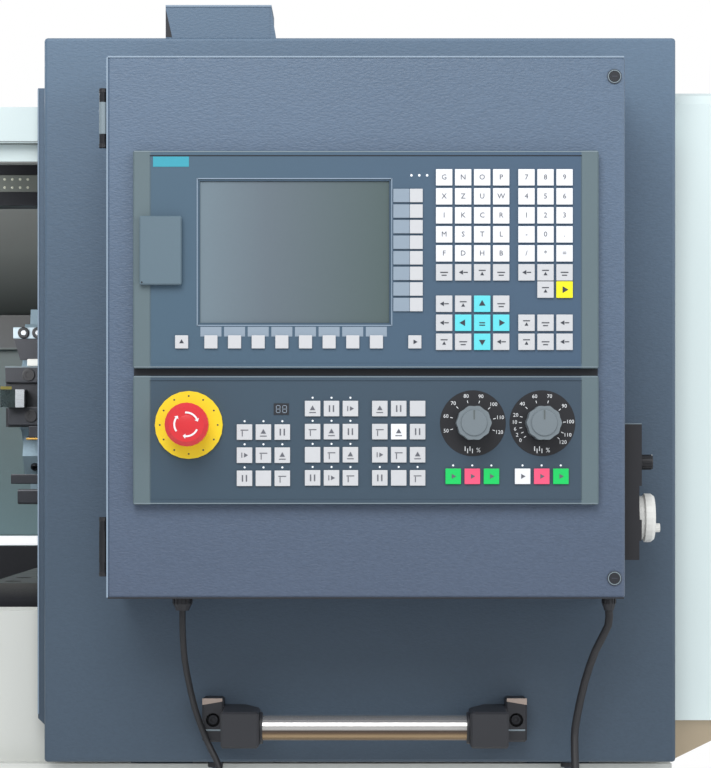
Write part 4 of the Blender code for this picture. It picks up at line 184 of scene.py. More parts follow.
def finish_of(name, colour, roughness=0.5, metallic=0.0, grain=900.0, bump=0.3, bump_depth=0.0002,
              amount=0.06, patch=4.0, specks=0.0, speck_colour=(0.5, 0.5, 0.5, 1.0), stretch=None,
              coat=0.0, emission=0.0, second=None):
    """A material with grain, patches and rubbed specks; second is (axis, places, colours) along the part."""
    made = bpy.data.materials.new(name)
    made.use_nodes = True
    tree = made.node_tree
    place = node(tree, "ShaderNodeTexCoord", {}).outputs["Object"]
    grain_place, tone = place, colour
    if stretch:
        grain_place = node(tree, "ShaderNodeMapping", {"Scale": stretch, "Vector": place}).outputs[0]
    if second:
        axis, places, colours = second
        split = node(tree, "ShaderNodeSeparateXYZ", {0: place})
        along = node(tree, "ShaderNodeMapRange",
                     {"From Min": places[0], "From Max": places[-1], "Value": split.outputs[axis]})
        ramp = node(tree, "ShaderNodeValToRGB", {0: along.outputs[0]})
        elements = ramp.color_ramp.elements
        while len(elements) < len(places):
            elements.new(0.5)
        for element, at, shade in zip(elements, places, colours):
            element.position = (at - places[0]) / (places[-1] - places[0])
            element.color = shade
        tone = ramp.outputs[0]
    group = node(tree, "ShaderNodeGroup", {
        "Colour": tone, "Grain scale": grain, "Patch scale": patch, "Amount": amount, "Gloss": roughness,
        "Place": grain_place}, node_tree=paint_grain)
    out = group.outputs["Colour"]
    if specks:
        wear = node(tree, "ShaderNodeGroup", {"Cover": 1.0 - specks, "Place": place}, node_tree=rubbed_specks)
        mix = node(tree, "ShaderNodeMix", {"Factor": wear.outputs["Mask"], "A": out, "B": speck_colour},
                   data_type="RGBA")
        out = mix.outputs["Result"]
    height = node(tree, "ShaderNodeBump",
                  {"Strength": bump, "Distance": bump_depth, "Height": group.outputs["Height"]})
    shader = tree.nodes["Principled BSDF"].inputs
    for output, name_in in ((out, "Base Color"), (group.outputs["Roughness"], "Roughness"),
                            (height.outputs[0], "Normal")):
        tree.links.new(output, shader[name_in])
    shader["Metallic"].default_value = metallic
    shader["Coat Weight"].default_value = coat
    if emission:
        shader["Emission Color"].default_value = colour
        shader["Emission Strength"].default_value = emission
    finishes[name] = made


# Making pieces

def keep(name, mesh, material, body):
    """Puts a finished mesh into the scene on its body."""
    mesh.name = name
    obj = bpy.data.objects.new(name, mesh)
    bpy.context.scene.collection.objects.link(obj)
    mesh.materials.clear()
    mesh.materials.append(finishes[material])
    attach(obj, body)


def mesh_of(bm):
    """A plain mesh with outward faces; the bmesh is used up."""
    bmesh.ops.remove_doubles(bm, verts=bm.verts, dist=0.000001)
    bmesh.ops.recalc_face_normals(bm, faces=bm.faces)
    mesh = bpy.data.meshes.new("piece")
    bm.to_mesh(mesh)
    bm.free()
    return mesh


def rounded_box(bm, low, high, edge=0.0):
    made = bmesh.ops.create_cube(bm, size=1.0)["verts"]
    bmesh.ops.scale(bm, vec=[b - a for a, b in zip(low, high)], verts=made)
    bmesh.ops.translate(bm, vec=[(a + b) / 2 for a, b in zip(low, high)], verts=made)
    if edge:
        edges = list({e for v in made for e in v.link_edges})
        bmesh.ops.bevel(bm, geom=edges, offset=edge, segments=2, affect="EDGES", profile=0.6)


def shifted(place, offset):
    """The point that lies offset millimetres from a place."""
    return tuple(a + b * MM for a, b in zip(place, offset))


def blocks(at, body, *rows, far=None):
    """Boxes on a body. A row is (name, finish, edge, box, box ...), and a box is the offset of its low corner
    from at and that of its high corner from far, which is at where nothing else is given."""
    for name, finish, edge, *offsets in rows:
        bm = bmesh.new()
        for offset in offsets:
            rounded_box(bm, shifted(at, offset[:3]), shifted(far or at, offset[3:]), edge * MM)
        keep(name, mesh_of(bm), finish, body)


def lathe(profile, steps=48):
    """A closed solid turned round Z from (radius, height) points, from one end to the other."""
    bm = bmesh.new()
    rings = []
    for radius, height in profile:
        turns = [2 * math.pi * i / steps for i in range(steps if radius > 0.0 else 1)]
        rings.append([bm.verts.new((radius * math.cos(a), radius * math.sin(a), height)) for a in turns])
    for below, above in zip(rings, rings[1:]):
        for i in range(steps):
            j = (i + 1) % steps
            # A ring of one point closes the solid with triangles
            corners = [row[k % len(row)] for row, k in ((below, i), (below, j), (above, j), (above, i))]
            corners = list(dict.fromkeys(corners))
            if len(corners) > 2:
                bm.faces.new(corners)
    if len(rings[0]) > 1 and len(rings[-1]) > 1:
        for i in range(steps):
            j = (i + 1) % steps
            bm.faces.new([rings[-1][i], rings[-1][j], rings[0][j], rings[0][i]])
    return mesh_of(bm)


def ring(inner, outer, low, high, edge):
    """A ring's profile in millimetres, with its outer edges cut."""
    return ((inner, low), (outer - edge, low), (outer, low + edge),
            (outer, high - edge), (outer - edge, high), (inner, high))


def turned(name, profile, place, turn, material, body, steps=48):
    """A turned piece; its profile is in millimetres."""
    mesh = lathe([(radius * MM, height * MM) for radius, height in profile], steps)
    mesh.transform(Matrix.Translation(place) @ turn)
    for face in mesh.polygons:
        face.use_smooth = True
    mesh.set_sharp_from_angle(angle=math.radians(35))
    keep(name, mesh, material, body)


def letters(name, words, material):
    """Generic legends on the control plate; each word is (text, place, height)."""
    bm = bmesh.new()
    for text, place, height in words:
        curve = bpy.data.curves.new("word", "FONT")
        curve.body = text
        curve.size = height
        curve.align_x = "CENTER"
        curve.align_y = "CENTER"
        curve.extrude = 0.1 * MM
        curve.resolution_u = 2
        holder = bpy.data.objects.new("word", curve)
        bpy.context.scene.collection.objects.link(holder)
        bpy.context.view_layer.update()
        mesh = bpy.data.meshes.new_from_object(holder.evaluated_get(bpy.context.evaluated_depsgraph_get()))
        mesh.transform(Matrix.Translation(place) @ TURN_FRONT)
        bm.from_mesh(mesh)
        bpy.data.objects.remove(holder, do_unlink=True)
        bpy.data.meshes.remove(mesh)
    mesh = bpy.data.meshes.new(name)
    bm.to_mesh(mesh)
    bm.free()
    keep(name, mesh, material, "control_plate")


# Geometry Nodes for what repeats

def painted(tree, points, shape, result, finish, **links):
    """Ends a tree: a shape on each point, made real, with its finish."""
    spread = node(tree, "GeometryNodeInstanceOnPoints", {"Points": points, "Instance": shape, **links})
    real = node(tree, "GeometryNodeRealizeInstances", {0: spread.outputs[0]})
    paint = node(tree, "GeometryNodeSetMaterial", {"Geometry": real.outputs[0], "Material": finish})
    tree.links.new(paint.outputs[0], result[0])
    return tree


def repeat_tree():
    """Puts one shape on each point of a mesh."""
    tree, given, result = tree_of(
        "shape_on_points", "GeometryNodeTree",
        (("Geometry", "Geometry"), ("Shape", "Object"), ("Size", "Vector", (1.0, 1.0, 1.0)),
         ("Finish", "Material")),
        (("Geometry", "Geometry"),))
    shape = node(tree, "GeometryNodeObjectInfo", {"Object": given["Shape"]})
    return painted(tree, given["Geometry"], shape.outputs["Geometry"], result, given["Finish"],
                   Scale=given["Size"])


def ribs_tree():
    """Ribs round a ring that turns about Z, as on a grip or a fluted knob."""
    tree, given, result = tree_of(
        "ribs_round_a_ring", "GeometryNodeTree",
        (("Geometry", "Geometry"), ("Count", "Int", 24), ("Ring radius", "Float", 0.02),
         ("Rib width", "Float", 0.001), ("Rib depth", "Float", 0.001), ("Rib length", "Float", 0.005),
         ("Finish", "Material")),
        (("Geometry", "Geometry"),))
    circle = node(tree, "GeometryNodeMeshCircle",
                  {"Vertices": given["Count"], "Radius": given["Ring radius"]})
    size = node(tree, "ShaderNodeCombineXYZ",
                {"X": given["Rib depth"], "Y": given["Rib width"], "Z": given["Rib length"]})
    rib = node(tree, "GeometryNodeMeshCube", {"Size": size.outputs[0]})
    place = node(tree, "GeometryNodeInputPosition", {})
    turn = node(tree, "FunctionNodeAlignRotationToVector", {"Vector": place.outputs[0]}, axis="X")
    return painted(tree, circle.outputs[0], rib.outputs["Mesh"], result, given["Finish"],
                   Rotation=turn.outputs[0])


shape_on_points = repeat_tree()
ribs_round_a_ring = ribs_tree()


def grown(name, tree, start, values, material, body, transform=None):
    """Runs a tree on a mesh, keeps its result as a plain mesh and drops the modifier."""
    holder = bpy.data.objects.new(name + "_seed", start)
    bpy.context.scene.collection.objects.link(holder)
    step = holder.modifiers.new("grow", "NODES")
    step.node_group = tree
    for item in tree.interface.items_tree:
        if item.in_out == "INPUT" and item.name in values:
            step[item.identifier] = values[item.name]
    bpy.context.view_layer.update()
    seen = holder.evaluated_get(bpy.context.evaluated_depsgraph_get())
    mesh = bpy.data.meshes.new_from_object(seen)
    holder.modifiers.clear()
    bpy.data.objects.remove(holder, do_unlink=True)
    if transform is not None:
        mesh.transform(transform)
    keep(name, mesh, material, body)


def repeated(name, shape, places, material, body):
    """One shape at each place; the shape's mesh stands at the origin."""
    points = bpy.data.meshes.new(name + "_points")
    points.from_pydata([tuple(p) for p in places], [], [])
    model = bpy.data.objects.new(name + "_shape", shape)
    bpy.context.scene.collection.objects.link(model)
    values = {"Shape": model, "Finish": finishes[material]}
    grown(name, shape_on_points, points, values, material, body)
    bpy.data.objects.remove(model, do_unlink=True)


def ribs(name, count, sizes, place, turn, body):
    """Black ribs; sizes are the ring's radius and a rib's width, depth and length, in millimetres."""
    values = {"Count": count, "Finish": finishes["box_black"]}
    values.update(zip(("Ring radius", "Rib width", "Rib depth", "Rib length"), (size * MM for size in sizes)))
    start = bpy.data.meshes.new(name + "_start")
    grown(name, ribs_round_a_ring, start, values, "box_black", body, Matrix.Translation(place) @ turn)


def screw_head(radius, height, turn=TURN_FRONT):
    """A socket head screw's head, sizes in millimetres, standing on the origin along the turned Z."""
    steps = 18
    socket = radius * 0.5
    rows = ((radius, 0.0), (radius, height * 0.8), (radius * 0.88, height), (socket, height),
            (socket * 0.96, height * 0.4))
    bm = bmesh.new()
    rings = []
    for row, (r, z) in enumerate(rows):
        rings.append([])
        for i in range(steps):
            a = 2 * math.pi * i / steps
            # The socket's two rings are six-sided
            side = (a + math.pi / 6) % (math.pi / 3) - math.pi / 6
            reach = (r / math.cos(side) * 0.93 if row > 2 else r) * MM
            rings[-1].append(bm.verts.new((reach * math.cos(a), reach * math.sin(a), z * MM)))
    for below, above in zip(rings, rings[1:]):
        for i in range(steps):
            j = (i + 1) % steps
            bm.faces.new((below[i], below[j], above[j], above[i]))
    bm.faces.new(rings[0][::-1])
    bm.faces.new(rings[-1])
    mesh = mesh_of(bm)
    mesh.transform(turn)
    return mesh


def button_shape(width, height, depth, edge):
    """A rounded box round the origin, sizes in millimetres."""
    bm = bmesh.new()
    half = [size * MM / 2 for size in (width, depth, height)]
    rounded_box(bm, [-size for size in half], half, edge * MM)
    return mesh_of(bm)


def disc_shape(radius, depth, turn=TURN_FRONT, steps=20):
    """A flat disc with a cut edge, sizes in millimetres."""
    profile = ((0.0, 0.0), (radius, 0.0), (radius, depth * 0.7), (radius * 0.8, depth), (0.0, depth))
    mesh = lathe([(r * MM, z * MM) for r, z in profile], steps)
    mesh.transform(turn)
    return mesh


# Finishes on the carried-over CAD nodes

# Grains that several finishes share
SHEET = dict(grain=1500, bump=0.12, bump_depth=0.0001, amount=0.03, patch=1.6)
BASE = dict(grain=1300, bump=0.15, bump_depth=0.00012, amount=0.04, patch=1.5)
FOIL = dict(grain=1600, bump=0.2, bump_depth=0.0001, amount=0.04, patch=5.0)
CAP = dict(grain=1500, bump=0.05, bump_depth=0.0001, amount=0.02)
SMOOTH = dict(grain=1500, bump=0.1, bump_depth=0.0001, amount=0.03)
PRINT = dict(grain=1500, bump=0.0, amount=0.02)
MOULDED = dict(grain=1800, bump=0.2, bump_depth=0.0001, amount=0.04)
POLISHED = dict(grain=200, bump=0.05, bump_depth=0.0001, amount=0.05)
WORN = dict(grain=420, bump=0.12, bump_depth=0.0001, amount=0.06, patch=8.0)
TURNED = dict(grain=260, bump_depth=0.0001)

# Finishes in one colour: name, colour, roughness, metallic, grain and what else differs
PLAIN_FINISHES = (
    ("apron_paint", (212, 214, 209), 0.46, 0.0, dict(SHEET, specks=0.16, speck_colour=srgb(176, 178, 174))),
    ("cabinet_paint", (178, 184, 184), 0.5, 0.0, dict(BASE, patch=4.0)),
    ("casting", (96, 99, 102), 0.62, 0.25,
     dict(grain=420, bump=0.5, bump_depth=0.0006, amount=0.12, patch=9.0,
          specks=0.25, speck_colour=srgb(60, 62, 64))),
    ("ground_steel", (176, 180, 184), 0.28, 1.0,
     dict(TURNED, bump=0.12, amount=0.08, stretch=(0.15, 6.0, 6.0))),
    ("turned_steel", (186, 189, 192), 0.3, 1.0,
     dict(TURNED, bump=0.14, amount=0.07, stretch=(9.0, 0.4, 0.4))),
    ("black_steel", (44, 45, 49), 0.4, 0.6,
     dict(grain=700, bump=0.2, amount=0.15, patch=14.0, specks=0.28, speck_colour=srgb(98, 98, 98))),
    ("quill_steel", (196, 190, 184), 0.2, 1.0, POLISHED),
    ("black_moulding", (40, 41, 46), 0.5, 0.0, dict(grain=2000, bump_depth=0.0001, amount=0.1, patch=18.0)),
    ("box_black", (28, 28, 33), 0.42, 0.0, dict(grain=2200, bump=0.2, bump_depth=0.0001, amount=0.1)),
    ("flap_plastic", (94, 114, 126), 0.45, 0.0, MOULDED),
    ("knob_plastic", (116, 126, 132), 0.45, 0.0, dict(MOULDED, amount=0.05)),
    ("stop_yellow", (246, 214, 30), 0.42, 0.0, SMOOTH),
    ("stop_red", (214, 42, 50), 0.32, 0.0, dict(SMOOTH, bump=0.06, amount=0.04, coat=0.2)),
    ("white_moulding", (226, 226, 222), 0.35, 0.0, SMOOTH),
    ("turret_blue", (150, 172, 186), 0.34, 0.15, dict(WORN, specks=0.2, speck_colour=srgb(205, 214, 220))),
    ("turret_light", (186, 202, 212), 0.34, 0.1, WORN),
    ("block_dark", (44, 46, 52), 0.38, 0.35,
     dict(grain=500, amount=0.16, patch=16.0, specks=0.25, speck_colour=srgb(92, 92, 96))),
    ("cable_jacket", (40, 40, 43), 0.55, 0.0, dict(SMOOTH, bump=0.25, amount=0.12)),
    ("key_white", (238, 239, 243), 0.4, 0.0, dict(CAP, amount=0.015)),
    ("key_grey", (204, 205, 208), 0.4, 0.0, CAP),
    ("key_cyan", (100, 218, 228), 0.4, 0.0, CAP),
    ("key_yellow", (252, 244, 20), 0.4, 0.0, CAP),
    ("key_green", (10, 206, 98), 0.4, 0.0, CAP),
    ("key_pink", (248, 88, 126), 0.4, 0.0, CAP),
    ("field_label", (142, 157, 172), 0.5, 0.0, CAP),
    ("legend_dark", (52, 56, 66), 0.5, 0.0, dict(PRINT, amount=0.03)),
    ("legend_grey", (96, 98, 106), 0.5, 0.0, dict(PRINT, amount=0.03)),
    ("legend_white", (236, 238, 240), 0.5, 0.0, PRINT),
    ("lamp_white", (160, 162, 148), 0.3, 0.0, PRINT),
    ("lamp_dot", (236, 240, 244), 0.3, 0.0, dict(PRINT, emission=0.3)),
    ("lamp_grey", (88, 92, 88), 0.4, 0.0, dict(SMOOTH, amount=0.05)),
    # Dark parts, and painted shade in gaps, openings and under edges
    ("dark_parts_and_shade", (30, 33, 40), 0.5, 0.0, dict(SMOOTH, amount=0.08)),
    ("seam_dark", (92, 100, 100), 0.6, 0.0, dict(SMOOTH, amount=0.08)),
    # Painted highlights on lit edges
    ("edge_light", (140, 158, 176), 0.42, 0.0, {}),
    # White, with a painted glow of light from the work lamp
    ("ledge_white", (240, 241, 243), 0.4, 0.0, dict(SMOOTH, amount=0.02, emission=0.6)),
    # Painted light on the lit tops of the handle feet
    ("painted_light_on_feet", (170, 154, 144), 0.5, 0.0, dict(SMOOTH, bump=0.2, amount=0.08)),
    ("name_plate", (52, 158, 178), 0.45, 0.0, CAP),
    # Grey trim, and painted highlights on lit edges and ledges
    ("lip_grey", (128, 142, 150), 0.4, 0.0, dict(SMOOTH, bump=0.2, amount=0.06)),
    ("brass", (190, 150, 80), 0.3, 1.0, dict(grain=500, bump=0.1, bump_depth=0.0001, amount=0.08)),
    ("carbide", (226, 206, 120), 0.3, 0.7, dict(grain=800, bump=0.1, bump_depth=0.0001, amount=0.08)),
)


def make_finishes(colours, sizes):
    paint = tuple(colours.door_paint)
    pale = tuple(colours.casing_paint)
    base = tuple(colours.base_paint)
    foil = tuple(colours.panel_foil)
    for name, colour, roughness, metallic, grain in PLAIN_FINISHES:
        finish_of(name, srgb(*colour), roughness, metallic, **grain)

    def along(axis, *steps):
        """Colours along an axis, from (place, colour) pairs."""
        return axis, [at for at, _ in steps], [tone if len(tone) > 3 else srgb(*tone) for _, tone in steps]

    # Painted shade: the door gets darker downwards, as the photo's light does
    door = [(height, (*(c * share for c in paint[:3]), 1.0))
            for height, share in ((0.83, 0.46), (1.0, 0.52), (1.24, 0.71), (1.53, 1.0))]
    wrinkle = dict(grain=1 / sizes.wrinkle, stretch=(0.7, 1.0, 1.5))
    finish_of("door_paint", paint, 0.46, bump=0.5, bump_depth=0.0005, amount=0.10, patch=2.2,
              second=along(2, *door), **wrinkle)
    # Painted shade: the control box also gets darker downwards
    finish_of("box_paint_and_shade", paint, 0.44, bump=0.8, bump_depth=0.0006, amount=0.14, patch=2.6,
              second=along(2, (0.99, (77, 90, 111)), (1.25, (84, 101, 123)), (1.49, (92, 111, 133))),
              **wrinkle)
    finish_of("casing_paint", pale, 0.42, specks=0.18, speck_colour=srgb(170, 182, 180), **SHEET)
    # Painted shade on the roof guard: its wall is greyer than the pale paint, darkest in a band under the fold
    # from 1.27 to 1.31 m, and lighter again above
    finish_of("wall_paint_and_shade", pale, 0.38, specks=0.2, speck_colour=srgb(90, 108, 106),
              second=along(2, (1.03, (126, 154, 160)), (1.266, (92, 112, 112)), (1.270, (62, 67, 72)),
                           (1.308, (38, 41, 42)), (1.314, (92, 95, 93)), (1.38, (150, 151, 148)),
                           (1.46, (162, 162, 160))),
              **dict(SHEET, grain=1200, amount=0.05, patch=3.0))
    finish_of("base_paint", base, 0.5, specks=0.2, speck_colour=srgb(160, 163, 160), **BASE)
    # Painted shade and a painted reflection of the warm floor: the chip tray turns tan towards its right end
    finish_of("tray_paint_and_shade", base, 0.5,
              second=along(0, (-1.0, base), (0.50, base), (0.62, (184, 167, 141)), (1.0, (181, 165, 140))),
              **BASE)
    # Painted shade and light: the saddle is dark on its front and lighter at its top
    finish_of("saddle_steel_light_and_shade", base, 0.36, 0.5, grain=500, bump=0.25, amount=0.2, patch=12.0,
              specks=0.33, speck_colour=srgb(104, 104, 102), stretch=(1.0, 4.0, 1.0),
              second=along(2, (0.93, (38, 39, 44)), (0.985, (38, 39, 44)), (0.999, (76, 76, 75)),
                           (1.02, (76, 76, 75))))
    # Painted reflections on the handle tube: brown and gold bands on its lower half and a painted highlight near
    # its top
    foot, top = (corner.z for corner in span("handle_tube"))
    finish_of("tube_painted_reflections", base, 0.2, 0.75, stretch=(0.2, 5.0, 5.0),
              second=along(2, (foot, (92, 74, 58)), (foot + 5.0 * MM, (168, 144, 112)),
                           (foot + 7.5 * MM, (104, 86, 70)), (foot + 10.0 * MM, (84, 74, 68)),
                           (foot + 11.8 * MM, (205, 202, 198)), (top, (190, 188, 186))), **POLISHED)
    # The panels' rims are greyer than their printed fields
    left, right, rim = screen_low.x, screen_high.x, (94, 111, 117)
    for name, start, end in (
            ("panel_foil", (68, 94, 113), (64, 88, 112)), ("lower_foil", (55, 76, 92), (56, 74, 90))):
        finish_of(name, foil, 0.48, second=along(
            0, (left, rim), (left + RIM_WIDTH, rim), (left + RIM_WIDTH + RIM_EDGE, start),
            (right - RIM_WIDTH - RIM_EDGE, end), (right - RIM_WIDTH, rim), (right, rim)), **FOIL)
    # Painted reflection: the screen's glass is lighter at its left and darker to the right
    left, right = (corner.x for corner in span("screen_glass"))
    finish_of("screen_face_reflection", foil, 0.24, grain=300, bump=0.02, bump_depth=0.0001, amount=0.015, patch=6.0,
              second=along(0, (left, (115, 131, 141)), (left + 0.06, (102, 114, 123)), (right, (82, 97, 97))))


NODE_FINISHES = {
    "door_paint": ("door_panel", "switch_cover"),
    "box_paint_and_shade": ("control_box", "control_front_plate", "spindle_motor"),
    "apron_paint": ("front_apron", "lower_guide"),
    "casing_paint": ("headstock_cover", "tail_guard", "top_rail", "tailstock", "turret_housing"),
    "wall_paint_and_shade": ("roof_guard",),
    "base_paint": ("base_cabinet",),
    "tray_paint_and_shade": ("chip_tray",),
    "cabinet_paint": ("electrical_cabinet", "cabinet_door"),
    "casting": ("bed", "headstock"),
    "ground_steel": ("cross_slide", "turning_tool"),
    "turned_steel": ("spindle", "chuck_body", "ball_screw", "live_centre"),
    "black_steel": ("work_lamp", "chuck_jaw_1", "chuck_jaw_2", "chuck_jaw_3", "tool_block", "z_servo_motor",
                    "quill_cylinder", "hinge_upper", "hinge_lower"),
    "saddle_steel_light_and_shade": ("saddle",),
    "tube_painted_reflections": ("handle_tube",),
    "quill_steel": ("tailstock_quill",),
    "black_moulding": ("handle_bracket_left", "handle_bracket_right", "gland_left", "gland_right",
                       "selector_knob", "lock_upper", "lock_lower", "cabinet_catch"),
    "box_black": ("hand_pulse_unit",),
    "panel_foil": ("screen_unit",),
    "lower_foil": ("machine_panel",),
    "screen_face_reflection": ("screen_glass",),
    "flap_plastic": ("usb_flap",),
    "knob_plastic": ("feed_knob", "speed_knob"),
    "stop_yellow": ("stop_ring",),
    "stop_red": ("stop_button",),
    "white_moulding": ("handwheel", "crank_knob", "side_knob"),
    "turret_blue": ("turret_disc",),
}


class LATHE_OT_finishes(bpy.types.Operator):
    """Makes the materials and puts them on the machine's nodes"""
    bl_idname = "lathe.finishes"
    bl_label = "Finishes"

    def execute(self, context):
        make_finishes(context.scene.lathe_colours, context.scene.lathe_sizes)
        for finish, nodes in NODE_FINISHES.items():
            for name in nodes:
                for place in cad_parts[name].material_slots:
                    place.material = finishes[finish]
        return {"FINISHED"}


# Cables, each from its gland down under the door's edge and up into its grommet, in millimetres

LEFT_ROUTE = (
    (423.0, -515.5, 983.9), (423.0, -515.0, 970.0), (423.6, -508.0, 946.1), (425.9, -496.0, 923.3),
    (432.1, -479.0, 889.3), (441.0, -477.0, 864.1), (448.0, -480.0, 849.2), (456.0, -490.0, 834.3),
    (460.0, -500.0, 810.0), (461.0, -502.0, 775.0), (459.0, -490.0, 745.0), (455.0, -465.0, 733.0),
    (452.0, -444.0, 750.0), (450.0, -436.0, 780.0), (449.0, -435.2, 805.0), (449.0, -435.0, 828.0),
)
RIGHT_ROUTE = (
    (821.2, -515.5, 983.9), (820.6, -514.5, 970.0), (809.4, -506.5, 945.7), (800.9, -487.5, 914.0),
    (794.7, -474.0, 878.9), (792.8, -473.0, 860.3), (792.5, -485.0, 833.6), (792.2, -496.0, 805.0),
    (792.0, -502.0, 775.0), (791.5, -490.0, 745.0), (791.0, -465.0, 733.0), (790.5, -444.0, 750.0),
    (790.0, -436.2, 780.0), (789.8, -435.2, 805.0), (789.8, -435.0, 828.0),
)


def smooth_route(route, parts=2):
    """Points on a smooth curve through a route."""
    points = [Vector(p) * MM for p in route]
    out = []
    for i in range(len(points) - 1):
        before, start = points[max(i - 1, 0)], points[i]
        end, after = points[i + 1], points[min(i + 2, len(points) - 1)]
        for j in range(parts):
            t = j / parts
            out.append(0.5 * (
                2 * start + (end - before) * t + (2 * before - 5 * start + 4 * end - after) * t ** 2
                + (3 * start - before - 3 * end + after) * t ** 3))
    out.append(points[-1])
    return out


def cable(name, route, diameter):
    places = smooth_route(route)
    curve = bpy.data.curves.new(name, "CURVE")
    curve.dimensions = "3D"
    curve.bevel_depth = diameter / 2
    curve.bevel_resolution = 6
    curve.use_fill_caps = True
    spline = curve.splines.new("POLY")
    spline.points.add(len(places) - 1)
    for point, place in zip(spline.points, places):
        point.co = (*place, 1.0)
    spline.use_smooth = True
    piece = bpy.data.objects.new(name + "_jacket", curve)
    bpy.context.scene.collection.objects.link(piece)
    curve.materials.append(finishes["cable_jacket"])
    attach(piece, "sliding_door")
    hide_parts(name)


class LATHE_OT_cables(bpy.types.Operator):
    """Hangs the two cables between control box and door"""
    bl_idname = "lathe.cables"
    bl_label = "Cables"

    def execute(self, context):
        sizes = context.scene.lathe_sizes
        for side, route, diameter, grip in (
                ("left", LEFT_ROUTE, sizes.cable_left, 8.8), ("right", RIGHT_ROUTE, sizes.cable_right, 6.2)):
            cable("cable_" + side, route, diameter)
            low, high = span("gland_" + side)
            middle = ((low.x + high.x) / 2, (low.y + high.y) / 2, high.z - 12.5 * MM)
            ribs("gland_grip_" + side, 12, (grip, 1.6, 1.2, 7.8), middle, UPRIGHT, "sliding_door")
            end = Vector(route[-1]) * MM
            turned("grommet_collar_" + side, ring(4.5, 7.4, -0.4, 4.0, 0.3), shifted(end, (0, 0, 1.2)),
                   UPRIGHT, "box_black", "sliding_door", 32)
        return {"FINISHED"}


# Keys and legends on the two operator panels, placed in millimetres right and down from a panel's corner

KEY = 14.5
PITCH = 17.2
SMALL_KEY = 11.5


def grid(left, top, columns, rows, across, down):
    return [(left + across * i, top + down * j) for j in range(rows) for i in range(columns)]


class Face:
    """A panel's front, with its left edge and its top."""

    def __init__(self, low, high):
        self.low, self.high = low, high

    def at(self, x, z, y=field_y):
        return (screen_low.x + x * MM, y, self.high.z - z * MM)

    def caps(self, name, places, width, height, material, rise):
        """Key caps over the plain keys, each a little larger than its key."""
        middle = panel_y - rise / 2 + 0.1 * MM
        shape = button_shape(width + 0.4, height + 0.4, rise / MM, 0.45)
        points = [self.at(x + width / 2, z + height / 2, middle) for x, z in places]
        repeated(name, shape, points, material, "control_plate")

    def lamps(self, name, places, radius=0.9):
        points = [self.at(x, z) for x, z in places]
        repeated(name, disc_shape(radius, 0.4), points, "lamp_dot", "control_plate")

    def prints(self, name, marks, y, material, thickness, body="control_plate"):
        """Thin printed shapes; each is a list of (right, down) corners."""
        outlines = [[self.at(x, z)[::2] for x, z in mark] for mark in marks]
        flat_shapes(name, outlines, y, material, thickness, body)

    # Painted highlights along a panel's top and bottom edges
    def edge_lines(self, name):
        width, height = ((self.high - self.low) / MM).xz
        self.prints(name, [bar(width / 2, 1.0, width - 2, 0.8), bar(width / 2, height - 1.2, width - 2, 0.8)],
                    panel_y, "lip_grey", 0.2)


def flat_shapes(name, outlines, y, material, thickness, body):
    """Thin shapes of (x, z) corners before the plane y, in metres; their thickness is in millimetres."""
    bm = bmesh.new()
    for outline in outlines:
        front = [bm.verts.new((x, y - thickness * MM, z)) for x, z in outline]
        back = [bm.verts.new((x, y, z)) for x, z in outline]
        bm.faces.new(front)
        bm.faces.new(back[::-1])
        for i in range(len(outline)):
            j = (i + 1) % len(outline)
            bm.faces.new((front[i], front[j], back[j], back[i]))
    keep(name, mesh_of(bm), material, body)


def triangle(x, z, size, way):
    turn = {"right": 0.0, "up": math.pi / 2, "left": math.pi, "down": -math.pi / 2}[way]
    return [(x + size * math.cos(turn + a), z - size * math.sin(turn + a)) for a in (0.0, 2.1, -2.1)]


def bar(x, z, width, height):
    return [(x + sx * width / 2, z + sz * height / 2) for sx, sz in ((-1, 1), (1, 1), (1, -1), (-1, -1))]


def shape_at(x, z, sign):
    """One mark from a kind and its sizes: a bar's place, width and height, or a triangle's, with its way."""
    kind = triangle if isinstance(sign[-1], str) else bar
    return kind(x + sign[0], z + sign[1], *sign[2:])


# Marks that take turns on the keys, offsets right and down from the key's middle
UPPER_MARKS = (
    ((0.0, 0.0, 7.0, 0.9), (0.0, 2.6, 4.6, 0.9)),
    ((-1.4, 0.0, 2.4, "left"), (2.2, 0.0, 4.0, 0.9)),
    ((0.0, -1.8, 6.2, 0.9), (0.0, 1.6, 2.0, "up")),
)
LOWER_MARKS = (
    ((0.0, -1.8, 7.0, 0.8), (-2.0, 1.4, 0.8, 5.0)),
    ((0.0, 0.0, 2.8, "up"), (0.0, 3.6, 6.0, 0.8)),
    ((-1.8, 0.0, 1.2, 6.0), (1.8, 0.0, 1.2, 6.0)),
    ((0.8, 0.0, 2.4, "right"), (-2.4, 0.0, 0.8, 4.6)),
    ((0.0, -1.8, 7.0, 0.8), (-2.0, 1.4, 0.8, 5.0)),
    ((0.0, 0.0, 2.8, "up"), (0.0, 3.6, 6.0, 0.8)),
    ((-1.8, 0.0, 1.2, 6.0), (1.8, 0.0, 1.2, 6.0)),
    (),
)


